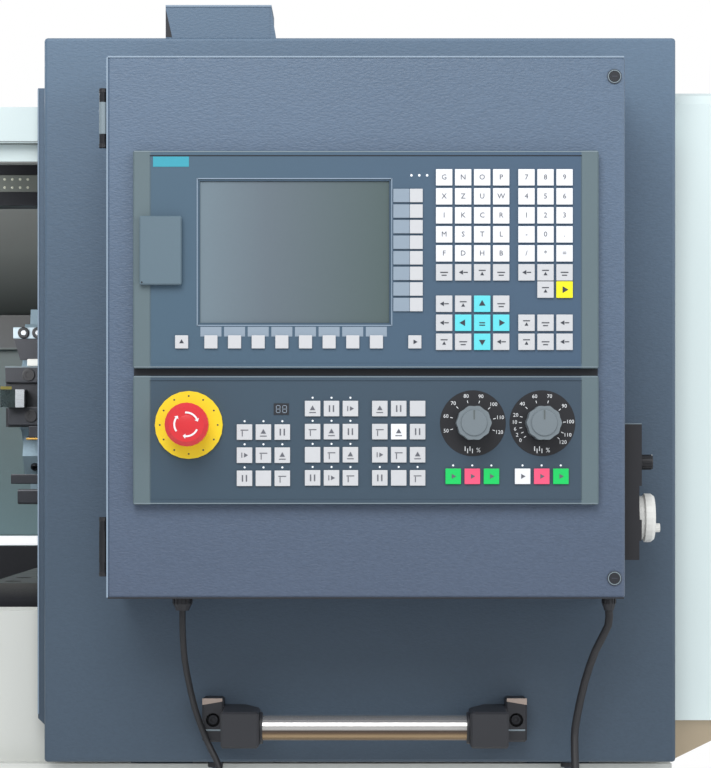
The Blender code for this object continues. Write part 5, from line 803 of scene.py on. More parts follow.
class LATHE_OT_screen_panel(bpy.types.Operator):
    """Key caps, legends and lamps of the upper panel"""
    bl_idname = "lathe.screen_panel"
    bl_label = "Screen panel"

    def execute(self, context):
        rise = context.scene.lathe_sizes.cap_rise
        face = Face(screen_low, screen_high)
        letter = grid(274.3, 17.2, 4, 6, PITCH, PITCH)
        number = grid(348.8, 17.2, 3, 6, PITCH, PITCH)
        cursor = grid(274.3, 131.6, 4, 3, PITCH, PITCH)
        tools = grid(348.8, 148.8, 3, 2, PITCH, PITCH)
        cyan = [cursor[i] for i in (2, 5, 6, 7, 10)]
        grey = letter[20:] + number[15:] + [c for c in cursor if c not in cyan] + tools + [(366.0, 118.8)]
        yellow, low = (383.2, 118.8), grid(64.8, 167.6, 8, 1, 21.39, 0)
        ends = (38.3, 167.6), (249.3, 167.6)
        for name, places, width, height, material, stand in (
                ("keys_white", letter[:20] + number[:15], KEY, KEY, "key_white", rise),
                ("keys_grey", grey, KEY, KEY, "key_grey", rise),
                ("keys_cyan", cyan, KEY, KEY, "key_cyan", rise),
                ("key_yellow", [yellow], KEY, KEY, "key_yellow", rise),
                ("side_keys", grid(250.7, 35.0, 1, 8, 0, 14.1), 11.3, 11.8, "key_grey", rise),
                ("side_labels", grid(235.7, 35.0, 1, 8, 0, 14.1), 14.3, 11.8, "field_label", 1.0 * MM),
                ("low_keys", low, SMALL_KEY, SMALL_KEY, "key_grey", rise),
                ("end_keys", ends, SMALL_KEY, SMALL_KEY, "key_grey", rise)):
            face.caps(name, places, width, height, material, stand)
        labels = [bar(x + SMALL_KEY / 2 - 0.05, 164.0, 19.0, 8.8) for x, _ in low]
        face.prints("low_labels", labels, field_y, "field_label", 0.3)
        words, front = [], panel_y - rise - 0.05 * MM
        for rows, places in (("GNOPXZUWIKCRMSTLFDHB", letter), ("789456123-0./*=", number)):
            words += [(char, face.at(x + KEY / 2, z + KEY / 2, front), 6.6 * MM)
                      for char, (x, z) in zip(rows, places)]
        letters("key_letters", words, "legend_grey")
        middles = [(x + KEY / 2, z + KEY / 2) for x, z in cursor]
        arrows = ((2, "up"), (5, "left"), (7, "right"), (10, "down"))
        marks = [triangle(*middles[i], 3.4, way) for i, way in arrows]
        marks += [shape_at(*middles[6], sign) for sign in ((0.0, 0.0, 5.2, 1.0), (0.0, 2.2, 5.2, 1.0))]
        for k, (x, z) in enumerate(grey):
            marks += [shape_at(x + KEY / 2, z + KEY / 2, sign) for sign in UPPER_MARKS[k % len(UPPER_MARKS)]]
        marks.append(triangle(yellow[0] + KEY / 2, yellow[1] + KEY / 2, 3.6, "right"))
        marks += [triangle(x + SMALL_KEY / 2, z + SMALL_KEY / 2, 2.4, way)
                  for (x, z), way in zip(ends, ("up", "right"))]
        face.prints("key_marks", marks, panel_y - rise, "legend_dark", 0.12)
        face.lamps("upper_lamps", [(252.0 + 7.1 * i, 22.5) for i in range(3)], 1.1)
        glass_low, glass_high = span("screen_glass")
        rim, line = 2.4 * MM, 0.9 * MM
        a, b = glass_low.x - rim, glass_high.x + rim
        c, d = glass_low.z - rim, glass_high.z + rim
        # Painted highlight round the screen's glass
        flat_shapes("screen_rim", [
            bar((a + b) / 2, d, b - a, line), bar((a + b) / 2, c, b - a, line),
            bar(a, (c + d) / 2, line, d - c + line), bar(b, (c + d) / 2, line, d - c + line)],
            field_y, "edge_light", 0.5, "control_plate")
        face.edge_lines("bezel_lines")
        width = (screen_high.x - screen_low.x) / MM
        face.prints("bezel_shade", [bar(width / 2, 4.6, width - 30.4, 1.0)], field_y, "dark_parts_and_shade", 0.3)
        face.prints("bare_plate", [bar(34.3, 10.1, 32.5, 9.2)], field_y, "name_plate", 0.3)
        flap_low, _ = span("usb_flap")
        dot = shifted(flap_low, (2.2, 0, 2.2))
        repeated("flap_dot", disc_shape(0.8, 0.3), [dot], "dark_parts_and_shade", "data_flap")
        return {"FINISHED"}


# A dial's name, place and scale of (number, angle in degrees)
DIALS = (
    ("speed", 307.6, [(50 + 10 * i, 196 - 30.7 * i) for i in range(8)]),
    ("feed", 370.5, ((0, 218), (2, 205), (6, 192), (10, 178), (20, 163), (40, 136), (60, 106), (70, 75),
                     (90, 38), (100, 3), (110, -25), (120, -43))),
)


class LATHE_OT_machine_panel(bpy.types.Operator):
    """Key caps, stop switch and dials of the lower panel"""
    bl_idname = "lathe.machine_panel"
    bl_label = "Machine panel"

    def execute(self, context):
        rise = context.scene.lathe_sizes.cap_rise
        face = Face(machine_low, machine_high)
        size, across, down = 13.7, 17.1, 20.9
        left = grid(94.1, 44.2, 3, 3, across, down)
        middle = grid(155.7, 22.9, 3, 4, across, down)
        right = grid(216.5, 22.9, 3, 4, across, down)
        start = grid(282.9, 84.2, 3, 1, 17.3, 0) + grid(345.7, 84.2, 3, 1, 17.3, 0)
        centre = right[4]
        for name, places, material in (
                ("machine_keys_white", left + middle + [k for k in right if k != centre], "key_grey"),
                ("machine_key_centre", [centre], "key_white"),
                ("start_keys_green", [start[0], start[2], start[5]], "key_green"),
                ("start_keys_pink", [start[1], start[4]], "key_pink"),
                ("start_key_white", [start[3]], "key_white")):
            face.caps(name, places, size, size, material, rise)
        face.lamps("machine_lamps", [(x + size / 2, z - 3.0) for x, z in left + middle + right[9:] + start])
        marks = []
        for k, (x, z) in enumerate(left + middle + right):
            signs = LOWER_MARKS[k % len(LOWER_MARKS)]
            marks += [shape_at(x + size / 2, z + size / 2, sign) for sign in signs]
        marks += [triangle(x + size / 2, z + size / 2, 2.6, "right") for x, z in start]
        face.prints("machine_marks", marks, panel_y - rise, "legend_grey", 0.12)
        face.prints("digit_window", [bar(134.25, 30.2, 13.7, 10.4)], field_y, "dark_parts_and_shade", 0.5)
        digits = []
        for x in (131.4, 137.2):
            digits += [bar(x, 30.2 + s * 3.2, 2.8, 0.5) for s in (-1, 0, 1)]
            digits += [bar(x + s * 1.7, 30.2 + t * 1.6, 0.5, 2.6) for s in (-1, 1) for t in (-1, 1)]
        face.prints("digit_bars", digits, field_y - 0.5 * MM, "field_label", 0.12)
        face.edge_lines("machine_bezel_line")
        self.dials(face)
        self.stop(face)
        return {"FINISHED"}

    def dials(self, face):
        words, word_y, z = [], field_y - 0.5 * MM, 43.0
        for name, x, scale in DIALS:
            turned(name + "_dial_disc", ring(4.0, 29.8, 0.0, 0.4, 0.1), face.at(x, z), TURN_FRONT,
                   "box_black", "control_plate", 64)
            ticks = []
            for value, angle in scale:
                ux, uz = math.cos(math.radians(angle)), math.sin(math.radians(angle))
                words.append((str(value), face.at(x + 25.2 * ux, z - 25.2 * uz, word_y), 4.8 * MM))
                ticks.append([(x + ux * r - uz * s * 0.3, z - uz * r - ux * s * 0.3)
                              for r, s in ((18.8, -1), (21.2, -1), (21.2, 1), (18.8, 1))])
            words.append(("%", face.at(x + 5.0, z + 24.5, word_y), 5.8 * MM))
            ticks += [bar(x - 7.0 + 2.2 * i, z + 24.0 - (-1) ** i, 0.8, 4.2) for i in range(4)]
            face.prints(name + "_dial_ticks", ticks, field_y - 0.4 * MM, "legend_white", 0.12)
            low, high = span(name + "_knob")
            middle = (low + high) / 2
            turned(name + "_knob_cap", ((0.0, 0.0), (11.2, 0.0), (11.8, 0.6), (11.2, 1.4), (0.0, 1.8)),
                   (middle.x, low.y, middle.z), TURN_FRONT, "knob_plastic", name + "_dial")
            flat_shapes(name + "_pointer", [bar(middle.x, middle.z + 7.2 * MM, 1.3 * MM, 8.5 * MM)],
                        low.y - 1.6 * MM, "seam_dark", 0.3, name + "_dial")
        letters("dial_numbers", words, "legend_white")

    def stop(self, face):
        x, z = 50.6, 44.6

        def polar(radius, angle):
            return x + radius * math.cos(angle), z - radius * math.sin(angle)

        bands, steps, sweep = [], 12, 1.2
        for turn in (95, 215, 335):
            start = math.radians(turn)
            angles = [start - sweep * k / steps for k in range(steps + 1)]
            end = angles[-1]
            bands.append([polar(11.4, a) for a in angles] + [polar(9.8, a) for a in angles[::-1]])
            bands.append([polar(10.6, end - 0.22), polar(12.8, end), polar(8.4, end)])
        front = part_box("stop_button")[0][1]
        turned("stop_crown", ((0.0, 0.0), (15.4, 0.0), (14.6, 0.5), (0.0, 1.2)),
               face.at(x, z, front + 0.8 * MM), TURN_FRONT, "stop_red", "stop")
        face.prints("stop_arrows", bands, front - 0.1 * MM, "legend_white", 0.25, "stop")
        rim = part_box("stop_ring")[0][1]
        dots = [face.at(*polar(26.2, math.radians(a)), rim) for a in range(0, 360, 30)]
        repeated("stop_ring_dots", disc_shape(0.8, 0.2), dots, "legend_dark", "control_plate")


# Door, handle and control box

class LATHE_OT_door(bpy.types.Operator):
    """Painted highlight lines, painted light and shade, screws and trim of the door and its handle"""
    bl_idname = "lathe.door"
    bl_label = "Door"

    def execute(self, context):
        body = "sliding_door"
        low, high = span("door_panel")
        lip_y = -0.4235
        # Painted highlight along the door's left lip
        blocks((low.x, lip_y, low.z), body, ("lip_edge", "edge_light", 0.3, (-0.3, -1.2, 62, 1.2, 5.0, -46)),
               far=(low.x, lip_y, high.z))
        low, high = span("switch_cover")
        x, foot, top, y = high.x, low.z, high.z, low.y
        flange = [(x - 1.0 * MM, top), (x + 4.2 * MM, foot + 1.2 * MM), (x + 4.2 * MM, foot - 0.2 * MM),
                  (x - 1.0 * MM, foot - 0.2 * MM)]
        flat_shapes("cover_flange", [flange], y + 1.2 * MM, "door_paint", 1.8, body)
        # Painted highlight along the switch cover's top edge
        blocks((low.x, y, top), body, ("cover_rim", "edge_light", 0.3, (0, -0.8, -1.6, 0, 1.2, 0.3)),
               far=(x, y, top))
        # Painted shade in the switch cover's open end
        x = low.x + 0.2 * MM
        mouth = [(x, top - 4 * MM), (x + 6 * MM, foot + 1 * MM), (x, foot + 1 * MM)]
        flat_shapes("cover_mouth", [mouth], y, "dark_parts_and_shade", 0.3, body)
        for side, sign in (("left", 1), ("right", -1)):
            low, high = span("handle_bracket_" + side)
            outer, inner = (low.x, high.x) if sign > 0 else (high.x, low.x)
            at = (outer + sign * 10.4 * MM, high.y - 24 * MM, high.z - 21 * MM)
            turned("foot_socket_" + side, ring(2.4, 4.8, -6.0, -2.2, 0.4), at, TURN_FRONT, "black_steel",
                   body, 24)
            # Painted highlight on the ledge below each foot's socket
            blocks(at, body, ("foot_ledge_" + side, "lip_grey", 0.3, (-8.5, -0.6, -10.4, 8.5, 1.0, -8.8)))
            # Painted light on the top of each bracket's foot
            corners = ((0.3, -0.4), (19.3, -0.4), (19.3, -3.4), (0.3, -6.6))[::sign]
            flat_shapes("foot_top_" + side, [[(outer + sign * x * MM, high.z + z * MM) for x, z in corners]],
                        at[1] + 0.4 * MM, "painted_light_on_feet", 0.8, body)
            tube_low, tube_high = span("handle_tube")
            middle = (tube_low + tube_high) / 2
            turned("tube_collar_" + side, ring(11.9, 15.0, 0.0, 3.0, 0.6),
                   (inner - (0.2 if sign > 0 else 2.8) * MM, middle.y, middle.z), TURN_RIGHT,
                   "black_moulding", body)
        return {"FINISHED"}


class LATHE_OT_control_box(bpy.types.Operator):
    """Painted edge highlights and shadow lines, locks, hinges and the hand unit of the control box"""
    bl_idname = "lathe.control_box"
    bl_label = "Control box"

    def execute(self, context):
        low, high = span("control_front_plate")
        y, body = low.y, "control_plate"
        upper_left, upper_right = (low.x, y, high.z), (high.x, y, high.z)
        lower_left, lower_right = (low.x, y, low.z), (high.x, y, low.z)
        # Painted highlights along the front plate's top and left edges
        self.frame_lines("plate_edges", "edge_light", body, 0.3,
                         (upper_left, (1, -0.3, -1.3), upper_right, (-1, 1.0, 0.2)),
                         (lower_left, (-0.2, -0.3, 1), upper_left, (1.3, 1.0, -1)))
        self.frame_lines("plate_shade", "dark_parts_and_shade", body, 0.3,
                         (lower_left, (1, -0.2, -0.2), lower_right, (-1, 1.0, 1.3)))
        # Painted shadow in the gap between the two panels
        self.frame_lines("panel_gap", "dark_parts_and_shade", body, 0.0,
                         ((screen_low.x, y, machine_high.z), (0, -0.4, -0.2),
                          (screen_high.x, y, screen_low.z), (0, 0.4, 0.2)))
        self.frame_lines("box_seal", "box_black", "sliding_door", 0.4,
                         (lower_left, (4, 20.3, 4), lower_right, (-4, 22.0, 8)),
                         (upper_left, (4, 20.3, -8), upper_right, (-4, 22.0, -4)))
        for name, barrel in (("upper", "lip_grey"), ("lower", "black_steel")):
            low, high = span("lock_" + name)
            x, y, z = low.x + 6.6 * MM, low.y, (low.z + high.z) / 2
            turned("lock_ring_" + name, ring(5.2, 6.1, 0.0, 1.2, 0.3), (x, y + 1.0 * MM, z), TURN_FRONT,
                   "lip_grey", body, 32)
            turned("lock_core_" + name, ((0.0, 0.0), (5.0, 0.0), (4.8, 0.4), (0.0, 0.4)), (x, y, z),
                   TURN_FRONT, "dark_parts_and_shade", name + "_lock", 24)
            flat_shapes("lock_slot_" + name, [bar(x, z, 5.2 * MM, 1.0 * MM)], y - 0.4 * MM, "legend_dark",
                        0.15, name + "_lock")
            low, high = span("hinge_" + name)
            for part, profile, rise, finish in (
                    ("hinge_top_", ring(2.0, 3.6, 0.0, 4.0, 0.5), high.z - low.z - 4.0 * MM, "box_black"),
                    ("hinge_foot_", ring(2.0, 3.6, 0.0, 4.0, 0.5), 0.0, "box_black"),
                    ("hinge_barrel_", ring(2.0, 3.5, 0.0, 29.0, 0.2), 12.5 * MM, barrel)):
                turned(part + name, profile, shifted(low, (3.3, 3.3, rise / MM)), UPRIGHT, finish,
                       "sliding_door", 24)
        low, high = span("selector_knob")
        middle = (low + high) / 2
        self.frame_lines("selector_stripe", "legend_white", "axis_selector", 0.2,
                         ((low.x, middle.y, high.z), (8, -0.6, -0.8), (high.x, middle.y, high.z), (0, 0.6, 0.3)))
        ribs("selector_grip", 14, (6.6, 1.2, 1.0, 11.0), (high.x - 6.6 * MM, middle.y, middle.z), TURN_RIGHT,
             "axis_selector")
        low, high = span("hand_pulse_unit")
        # Painted highlight along the hand unit's top edge
        self.frame_lines("unit_top_line", "lip_grey", "sliding_door", 0.3,
                         ((low.x, low.y, high.z), (0, 0, -0.4), tuple(high), (0, 0, 0.6)))
        return {"FINISHED"}

    def frame_lines(self, name, finish, body, edge, *lines):
        """Boxes between two places, each with its offset."""
        bm = bmesh.new()
        for start, first, end, last in lines:
            rounded_box(bm, shifted(start, first), shifted(end, last), edge * MM)
        keep(name, mesh_of(bm), finish, body)


# Casing, work area and drive parts

class LATHE_OT_casing(bpy.types.Operator):
    """Seams, screws, handles and vents of the casing"""
    bl_idname = "lathe.casing"
    bl_label = "Casing"

    def execute(self, context):
        head_low, head_high = span("headstock_cover")
        tail_low, tail_high = span("tail_guard")
        body = "machine_frame"
        front, back = head_low.y, head_high.y
        screws = []
        for low, high in ((head_low, head_high), (tail_low, tail_high)):
            for i in range(5):
                x = low.x + 0.03 + (high.x - low.x - 0.06) * i / 4
                screws += [(x, front, low.z + 0.030), (x, front, high.z - 0.026)]
        mid = (head_low.x + head_high.x) / 2
        bm = bmesh.new()
        for start, first, end, last in (
                ((head_low.x, front, head_low.z), (14, -0.4, 60),
                 (head_high.x, front, head_low.z), (-14, 0.6, 61.4)),
                ((mid, front, head_low.z), (-0.7, -0.4, 62), (mid, front, head_high.z), (0.7, 0.6, -14))):
            rounded_box(bm, shifted(start, first), shifted(end, last), 0.2 * MM)
        keep("casing_seams", mesh_of(bm), "seam_dark", body)
        repeated("casing_screws", screw_head(4.2, 2.6), screws, "black_steel", body)
        blocks((mid, front, head_low.z), body,
               ("cover_grip", "black_moulding", 1.0, (-60, -1.2, 300, -20, 0.4, 420)),
               ("cover_grip_bar", "black_moulding", 3.0, (-46, -10, 312, -34, -1, 408)))
        vents = [(x, back - 0.4 * MM, 1.16 - 0.012 * i) for i in range(9) for x in (-0.62, 0.66)]
        repeated("back_vents", button_shape(160, 5.0, 3.0, 1.2), vents, "seam_dark", body)
        # A thin painted skin on the roof cover's top and back
        bm = bmesh.new()
        roof = 1.4694
        for start, first, last in (
                ((head_high.x, front, roof), (1.2, 1.2, 0), (-1.2, -1.2, 1.2)),
                ((head_high.x, back, head_low.z), (1.2, -1.8, 4), (-1.2, -1.2, -0.1))):
            rounded_box(bm, shifted(start, first), shifted((tail_low.x, back, roof), last), 0.6 * MM)
        keep("roof_skin", mesh_of(bm), "casing_paint", body)
        low, _ = span("front_apron")
        rivets = [(low.x + 0.04 + 0.125 * i, low.y, low.z + 0.016) for i in range(15)]
        repeated("apron_screws", screw_head(3.6, 2.2), rivets, "black_steel", body)
        low, high = span("top_rail")
        holes = [(low.x + 0.05 + 0.108 * i, low.y + 0.0012, low.z + 0.012) for i in range(11)]
        repeated("rail_screws", disc_shape(4.5, 1.1), holes, "ground_steel", body)
        blocks(low, body, ("rail_line", "seam_dark", 0.2, (2, -0.1, 0.5, -2, 0.6, 1.3)),
               far=(high.x, low.y, low.z))
        return {"FINISHED"}


class LATHE_OT_work_area(bpy.types.Operator):
    """Lamp, back wall, turret, chuck and carriage details"""
    bl_idname = "lathe.work_area"
    bl_label = "Work area"

    def execute(self, context):
        self.wall_and_lamp("machine_frame")
        self.turret("turret")
        self.chuck("main_spindle")
        low, high = span("cross_slide")
        tops = [(low.x + 0.018 + 0.164 * i, low.y + 0.02 + 0.0725 * j, high.z)
                for i in range(2) for j in range(5)]
        # None under the turret's housing
        tops = [p for p in tops if not (0.0 < p[1] < 0.17)]
        repeated("slide_screws", screw_head(6.0, 4.0, UPRIGHT), tops, "black_steel", "cross_carriage")
        low, _ = span("saddle")
        blocks((low.x, 0.0, 0.0), "carriage",
               ("saddle_wiper", "box_black", 1.0, (2, -219, 935.2, 8, 80, 950)))
        low, high = span("turret_housing")
        spots = [(high.x - 0.0002, low.y + 0.02 + 0.12 * i, low.z + 0.03 + 0.194 * j)
                 for i in range(2) for j in range(2)]
        repeated("housing_screws", screw_head(5.5, 3.5, TURN_RIGHT), spots, "black_steel", "cross_carriage")
        return {"FINISHED"}

    def wall_and_lamp(self, body):
        low, high = span("work_lamp")
        z = low.z + 22.5 * MM
        leds = [(low.x + 0.016 + 0.0079 * i, low.y + 0.0004, z + dz)
                for i in range(62) for dz in (-0.0042, 0.0042)]
        repeated("lamp_leds", disc_shape(1.4, 0.6, steps=10), leds, "lamp_white", body)
        blocks((low.x, low.y, z), body, ("lamp_strip", "lamp_grey", 0.6, (6, 0, -8.6, -6, 3.0, 8.6)),
               far=(high.x, low.y, z))
        low, high = span("roof_guard")
        wall = high.y - ROOF_COVER_ROOM
        blocks((low.x, wall, 1.0), body,
               # The ledge's white trim glows: painted light from the work lamp above
               ("wall_ledge_trim", "ledge_white", 0.4, (1, -62.2, 19.4, -1, -60.4, 31.2)),
               ("way_cover", "black_steel", 0.4, (1, -62.4, -50, -1, -60.4, 18.8)),
               far=(high.x, wall, 1.0))
        blocks((low.x, 0.0, 1.4), body,
               ("header_face", "casing_paint", 0.4, (1, -399, 17.6, -1, -397, 34.5)), far=(high.x, 0.0, 1.4))
        back = wall - 2.0 * MM
        blocks((low.x, back, low.z), body,
               ("wall_seams", "seam_dark", 0.2, (285, -1.0, 165, 286.5, 0.4, 395)))
        screws = [(low.x + 0.02 + 0.0883 * i, back - 0.0002, low.z + dz)
                  for i in range(7) for dz in (0.175, 0.385)]
        repeated("wall_screws", screw_head(4.0, 2.4), screws, "ground_steel", body)

    def turret(self, body):
        x, (y, z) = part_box("turret_disc")[0][0], TURRET_AXIS
        hub = ((0.0, 0.0), (34, 0.0), (36, 2), (36, 10), (30, 13), (12, 13), (10, 11), (0.0, 11))
        turned("turret_hub", hub, (x, y, z), TURN_LEFT, "turret_blue", body)
        for name, shape, radius, turn, rise in (
                ("turret_bolts", screw_head(4.2, 3.5, TURN_LEFT), 0.024, 0.0, -0.012),
                ("turret_plugs", disc_shape(6.0, 1.0, TURN_LEFT), 0.066, math.pi / 8, 0.0)):
            angles = [2 * math.pi * i / 8 + turn for i in range(8)]
            spots = [(x + rise, y + radius * math.cos(a), z + radius * math.sin(a)) for a in angles]
            repeated(name, shape, spots, "black_steel" if rise else "ground_steel", body)
        # Clamp screws on the disc's flats, apart from the one that carries the holder
        bm = bmesh.new()
        reach = 107.2 * MM
        for i in range(1, 8):
            a = 2 * math.pi * i / 8
            normal = Vector((0.0, -math.cos(a), -math.sin(a)))
            across = Vector((0.0, -math.sin(a), math.cos(a)))
            turn = Matrix((Vector((1, 0, 0)), across, normal)).transposed().to_4x4()
            for dx in (0.015, 0.045):
                shape = screw_head(5.0, 3.4, UPRIGHT)
                shape.transform(Matrix.Translation(Vector((x + dx, y, z)) + normal * reach) @ turn)
                bm.from_mesh(shape)
                bpy.data.meshes.remove(shape)
        mesh = bpy.data.meshes.new("clamp_screws")
        bmesh.ops.recalc_face_normals(bm, faces=bm.faces)
        bm.to_mesh(mesh)
        bm.free()
        keep("clamp_screws", mesh, "black_steel", body)
        low, _ = span("tool_block")
        at = (low.x, low.y, z)
        blocks(at, body,
               ("holder_faces", "block_dark", 1.2, (0, -6, 18, 50, -0.2, 36), (3, -6, -30, 50, -0.2, -9)),
               # Painted highlight along the holder's top edge
               ("holder_top_line", "lip_grey", 0.3, (-0.2, -6.2, 35.2, 50.2, 0, 36.4)),
               ("holder_jet", "white_moulding", 1.2, (24.5, -5, 36.8, 40, 6, 45)),
               ("holder_neck", "block_dark", 1.0, (26, -4, -44, 48, 10, -30.2)),
               ("holder_brass", "brass", 0.3, (23.5, -5, -46.2, 49, 10, -44.2)),
               ("lower_lip", "block_dark", 1.0, (5, 3, -96, 50, 19, -85)),
               ("lower_block", "block_dark", 2.0, (12, 5, -119, 48, 19, -102)),
               ("ring_block", "turret_light", 1.0, (8, 0.4, 68, 46, 18, 81)))
        sockets = [shifted(at, offset) for offset in ((26.5, -6, 27), (29, -6, -19.5))]
        repeated("holder_screws", screw_head(7.2, 1.4), sockets, "box_black", body)
        cups = [shifted(at, (20 + 16 * i, 0.2, 74.5)) for i in range(2)]
        repeated("holder_rings", disc_shape(6.6, 1.6), cups, "box_black", body)
        repeated("holder_ring_cores", disc_shape(3.4, 2.4), cups, "ground_steel", body)
        root = ((9, 0, 67.6), (46, 0, 67.6), (46, 0, 44), (16, 0, 44))
        flat_shapes("ring_block_root", [[shifted(at, corner)[::2] for corner in root]], low.y + 9 * MM,
                    "block_dark", 8.0, body)
        low, high = span("turning_tool")
        bm = bmesh.new()
        tip = (low.x, low.y, high.z)
        corners = ((0, -0.6), (11.5, 6), (3, 15))
        foot, top = ([bm.verts.new(shifted(tip, (px, py, level))) for px, py in corners]
                     for level in (-0.2, 3.2))
        bm.faces.new(foot)
        bm.faces.new(top[::-1])
        for i in range(3):
            j = (i + 1) % 3
            bm.faces.new((foot[i], foot[j], top[j], top[i]))
        keep("tool_insert", mesh_of(bm), "carbide", body)

    def chuck(self, body):
        low, high = span("chuck_body")
        y, z = SPINDLE_AXIS
        turned("chuck_grooves", ring(99.6, 100.6, 0.0, 4.0, 0.4), (low.x + 0.030, y, z), TURN_RIGHT,
               "black_steel", body, 96)
        angles = [math.radians(30 + 60 * i + (18 if i % 2 else -18)) for i in range(6)]
        bolts = [(high.x - 0.0002, y + 0.078 * math.sin(a), z + 0.078 * math.cos(a)) for a in angles]
        repeated("chuck_bolts", screw_head(6.0, 3.0, TURN_RIGHT), bolts, "black_steel", body)
        for i, name in enumerate(("one", "two", "three")):
            _, high = span("chuck_jaw_%d" % (i + 1))
            a, radius = 2 * math.pi * i / 3, 0.046
            spot = (high.x - 0.0001, y - radius * math.sin(a), z + radius * math.cos(a))
            repeated("jaw_bolt_" + name, screw_head(4.5, 2.4, TURN_RIGHT), [spot], "ground_steel",
                     "jaw_" + name)


class LATHE_OT_base_and_cabinet(bpy.types.Operator):
    """Panels, vents, hinges and feet of base and electrical cabinet"""
    bl_idname = "lathe.base_and_cabinet"
    bl_label = "Base and cabinet"

    def execute(self, context):
        body = "machine_frame"
        low, high = span("base_cabinet")
        front = low.y + 3 * MM
        pedestals = ((low.x + 0.06, low.x + 0.57), (high.x - 0.325, high.x - 0.06))
        screws = []
        bm = bmesh.new()
        for a, b in pedestals:
            rounded_box(bm, shifted((a, front, 0.1), (4, -1.6, 4)), shifted((b, front, 0.6), (-4, 1.0, -4)),
                        0.8 * MM)
            screws += [(x, front - 0.0014, z) for x in (a + 0.02, b - 0.02) for z in (0.12, 0.58)]
        keep("service_covers", mesh_of(bm), "base_paint", body)
        repeated("service_screws", screw_head(4.5, 2.8), screws, "black_steel", body)
        vents = [(pedestals[0][0] + 0.255, front - 0.0014, 0.20 + 0.014 * i) for i in range(8)]
        repeated("base_vents", button_shape(200, 5.5, 3.0, 1.4), vents, "seam_dark", body)
        feet = [(x, y, 0.02) for x in (low.x + 0.07, low.x + 0.56, high.x - 0.315, high.x - 0.07)
                for y in (low.y + 0.07, high.y - 0.07)]
        profile = ((11.3, 0), (18, 0), (18, 10), (11.3, 10))
        nut = lathe([(radius * MM, height * MM) for radius, height in profile], 6)
        repeated("foot_nuts", nut, feet, "black_steel", body)
        low, high = span("cabinet_door")
        vents = [(0.15 - 0.30 * k, high.y - 0.0010, 0.92 + 0.013 * i) for i in range(8) for k in range(2)]
        repeated("cabinet_vents", button_shape(140, 5.2, 3.0, 1.3), vents, "seam_dark", "cabinet_door")
        for i, z in enumerate((0.93, 1.35)):
            turned("cabinet_hinge_%d" % i, ring(1.5, 4.5, -30, 30, 0.6),
                   (low.x - 3 * MM, high.y - 6 * MM, z), UPRIGHT, "black_steel", body, 24)
        return {"FINISHED"}


# Stage

# The camera as the photo has it: its place and its distance from the panels' faces, the size of one pixel
# there, and in pixels the picture's height and the lens's shift
CAMERA_X, CAMERA_Z, CAMERA_AWAY = 0.5916, 1.12, 2.25
PIXEL, PICTURE_HEIGHT = 0.000905, 768
SHIFT_X, SHIFT_Y = -7.5, 81.0
SENSOR = 36.0
FLOOR_HALF, FADE_START, FADE_END = 14.0, 1.8, 4.0
# Name, place, target, size and watts
LIGHTS = (
    ("key_light", (0.2, -2.6, 2.9), (0.55, -0.45, 1.15), 1.6, 44.0),
    ("side_light", (2.6, -2.2, 1.8), (0.5, 0.0, 1.0), 1.6, 14.0),
    ("back_light", (-1.5, 3.0, 2.6), (0.0, 0.3, 1.0), 2.0, 40.0),
    ("work_light", (0.0, -0.33, 1.40), (0.1, 0.2, 1.10), 0.30, 3.2),
)


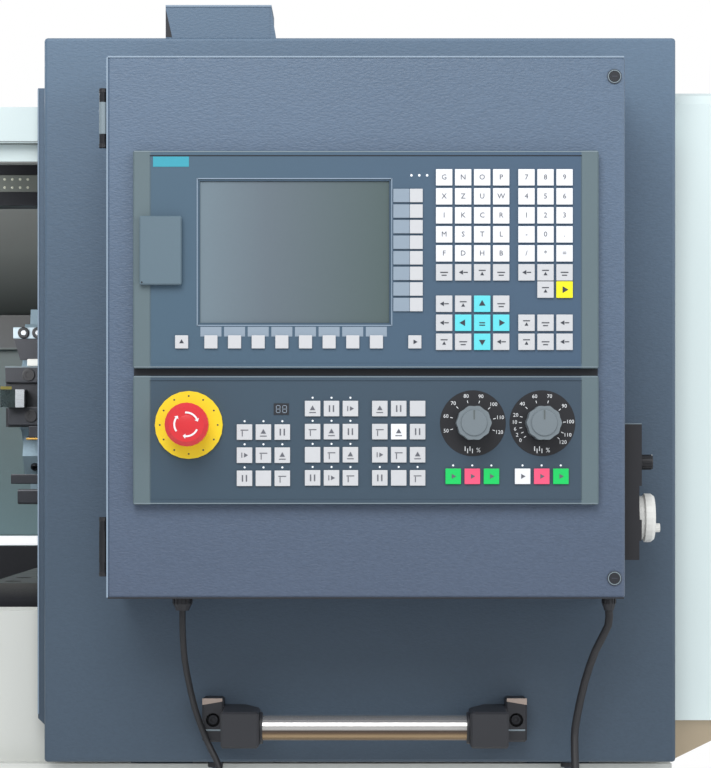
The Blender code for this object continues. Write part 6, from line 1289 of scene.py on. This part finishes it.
class LATHE_OT_stage(bpy.types.Operator):
    """Floor, backdrop, lights and camera"""
    bl_idname = "lathe.stage"
    bl_label = "Stage"

    def execute(self, context):
        scene = context.scene
        self.floor(scene)
        self.world(scene)
        for name, place, target, width, power in LIGHTS:
            lamp = bpy.data.lights.new(name, "AREA")
            lamp.size = width
            lamp.energy = power
            holder = bpy.data.objects.new(name, lamp)
            holder.location = place
            holder.rotation_euler = (Vector(target) - Vector(place)).to_track_quat("-Z", "Y").to_euler()
            scene.collection.objects.link(holder)
        lens = bpy.data.cameras.new("photo_camera")
        lens.sensor_fit = "VERTICAL"
        lens.sensor_height = SENSOR
        lens.lens = SENSOR * CAMERA_AWAY / PIXEL / PICTURE_HEIGHT
        lens.shift_x = SHIFT_X / PICTURE_HEIGHT
        lens.shift_y = SHIFT_Y / PICTURE_HEIGHT
        lens.clip_end = 60.0
        camera = bpy.data.objects.new("photo_camera", lens)
        camera.location = (CAMERA_X, panel_y - CAMERA_AWAY, CAMERA_Z)
        camera.rotation_euler = (math.pi / 2, 0.0, 0.0)
        scene.collection.objects.link(camera)
        scene.camera = camera
        scene.view_settings.view_transform = "Standard"
        return {"FINISHED"}

    def floor(self, scene):
        """A white floor that fades out round the machine."""
        white = bpy.data.materials.new("studio_white")
        white.use_nodes = True
        tree = white.node_tree
        shader = tree.nodes["Principled BSDF"]
        shader.inputs["Base Color"].default_value = (0.92, 0.92, 0.92, 1.0)
        shader.inputs["Roughness"].default_value = 0.9
        place = node(tree, "ShaderNodeTexCoord", {}).outputs["Object"]
        away = node(tree, "ShaderNodeVectorMath", {0: place}, operation="LENGTH")
        fade = node(tree, "ShaderNodeMapRange",
                    {"From Min": FADE_START, "From Max": FADE_END, "Value": away.outputs["Value"]},
                    interpolation_type="SMOOTHSTEP")
        clear = node(tree, "ShaderNodeBsdfTransparent", {})
        blend = node(tree, "ShaderNodeMixShader",
                     {0: fade.outputs[0], 1: shader.outputs[0], 2: clear.outputs[0]})
        tree.links.new(blend.outputs[0], tree.nodes["Material Output"].inputs["Surface"])
        bm = bmesh.new()
        rounded_box(bm, (-FLOOR_HALF, -FLOOR_HALF, -0.02), (FLOOR_HALF, FLOOR_HALF, 0.0))
        floor = bpy.data.objects.new("studio_floor", mesh_of(bm))
        floor.data.materials.append(white)
        scene.collection.objects.link(floor)

    def world(self, scene):
        """Soft light all round, and plain white where the camera sees past the machine."""
        scene.world = bpy.data.worlds.new("studio")
        scene.world.use_nodes = True
        tree = scene.world.node_tree
        tree.nodes.clear()
        soft = node(tree, "ShaderNodeBackground", {"Color": (0.94, 0.97, 1.0, 1.0), "Strength": 0.66})
        bright = node(tree, "ShaderNodeBackground", {"Color": (1.0, 1.0, 1.0, 1.0), "Strength": 1.0})
        path = node(tree, "ShaderNodeLightPath", {}).outputs
        seen = node(tree, "ShaderNodeMath", {0: path["Is Camera Ray"], 1: path["Is Transmission Ray"]},
                    operation="MAXIMUM")
        mix = node(tree, "ShaderNodeMixShader",
                   {0: seen.outputs[0], 1: soft.outputs[0], 2: bright.outputs[0]})
        node(tree, "ShaderNodeOutputWorld", {0: mix.outputs[0]})


class LATHE_PT_panel(bpy.types.Panel):
    """The lathe's pieces, one button each"""
    bl_idname = "LATHE_PT_panel"
    bl_label = "Turning lathe"
    bl_space_type = "VIEW_3D"
    bl_region_type = "UI"
    bl_category = "Lathe"

    def draw(self, context):
        column = self.layout.column()
        for holder in (context.scene.lathe_colours, context.scene.lathe_sizes):
            for name in holder.bl_rna.properties.keys():
                if name not in ("rna_type", "name"):
                    column.prop(holder, name)
        for operator in OPERATORS:
            column.operator(operator.bl_idname)


OPERATORS = (
    LATHE_OT_finishes, LATHE_OT_stage, LATHE_OT_cables, LATHE_OT_screen_panel, LATHE_OT_machine_panel,
    LATHE_OT_door, LATHE_OT_control_box, LATHE_OT_casing, LATHE_OT_work_area, LATHE_OT_base_and_cabinet,
)
CLASSES = (LatheColours, LatheSizes) + OPERATORS + (LATHE_PT_panel,)


def register():
    for cls in CLASSES:
        bpy.utils.register_class(cls)
    bpy.types.Scene.lathe_colours = bpy.props.PointerProperty(type=LatheColours)
    bpy.types.Scene.lathe_sizes = bpy.props.PointerProperty(type=LatheSizes)


def unregister():
    del bpy.types.Scene.lathe_sizes
    del bpy.types.Scene.lathe_colours
    for cls in reversed(CLASSES):
        bpy.utils.unregister_class(cls)


def main():
    register()
    for operator in OPERATORS:
        name = operator.bl_idname.split(".")[1]
        getattr(bpy.ops.lathe, name)()


if __name__ == "__main__":
    main()
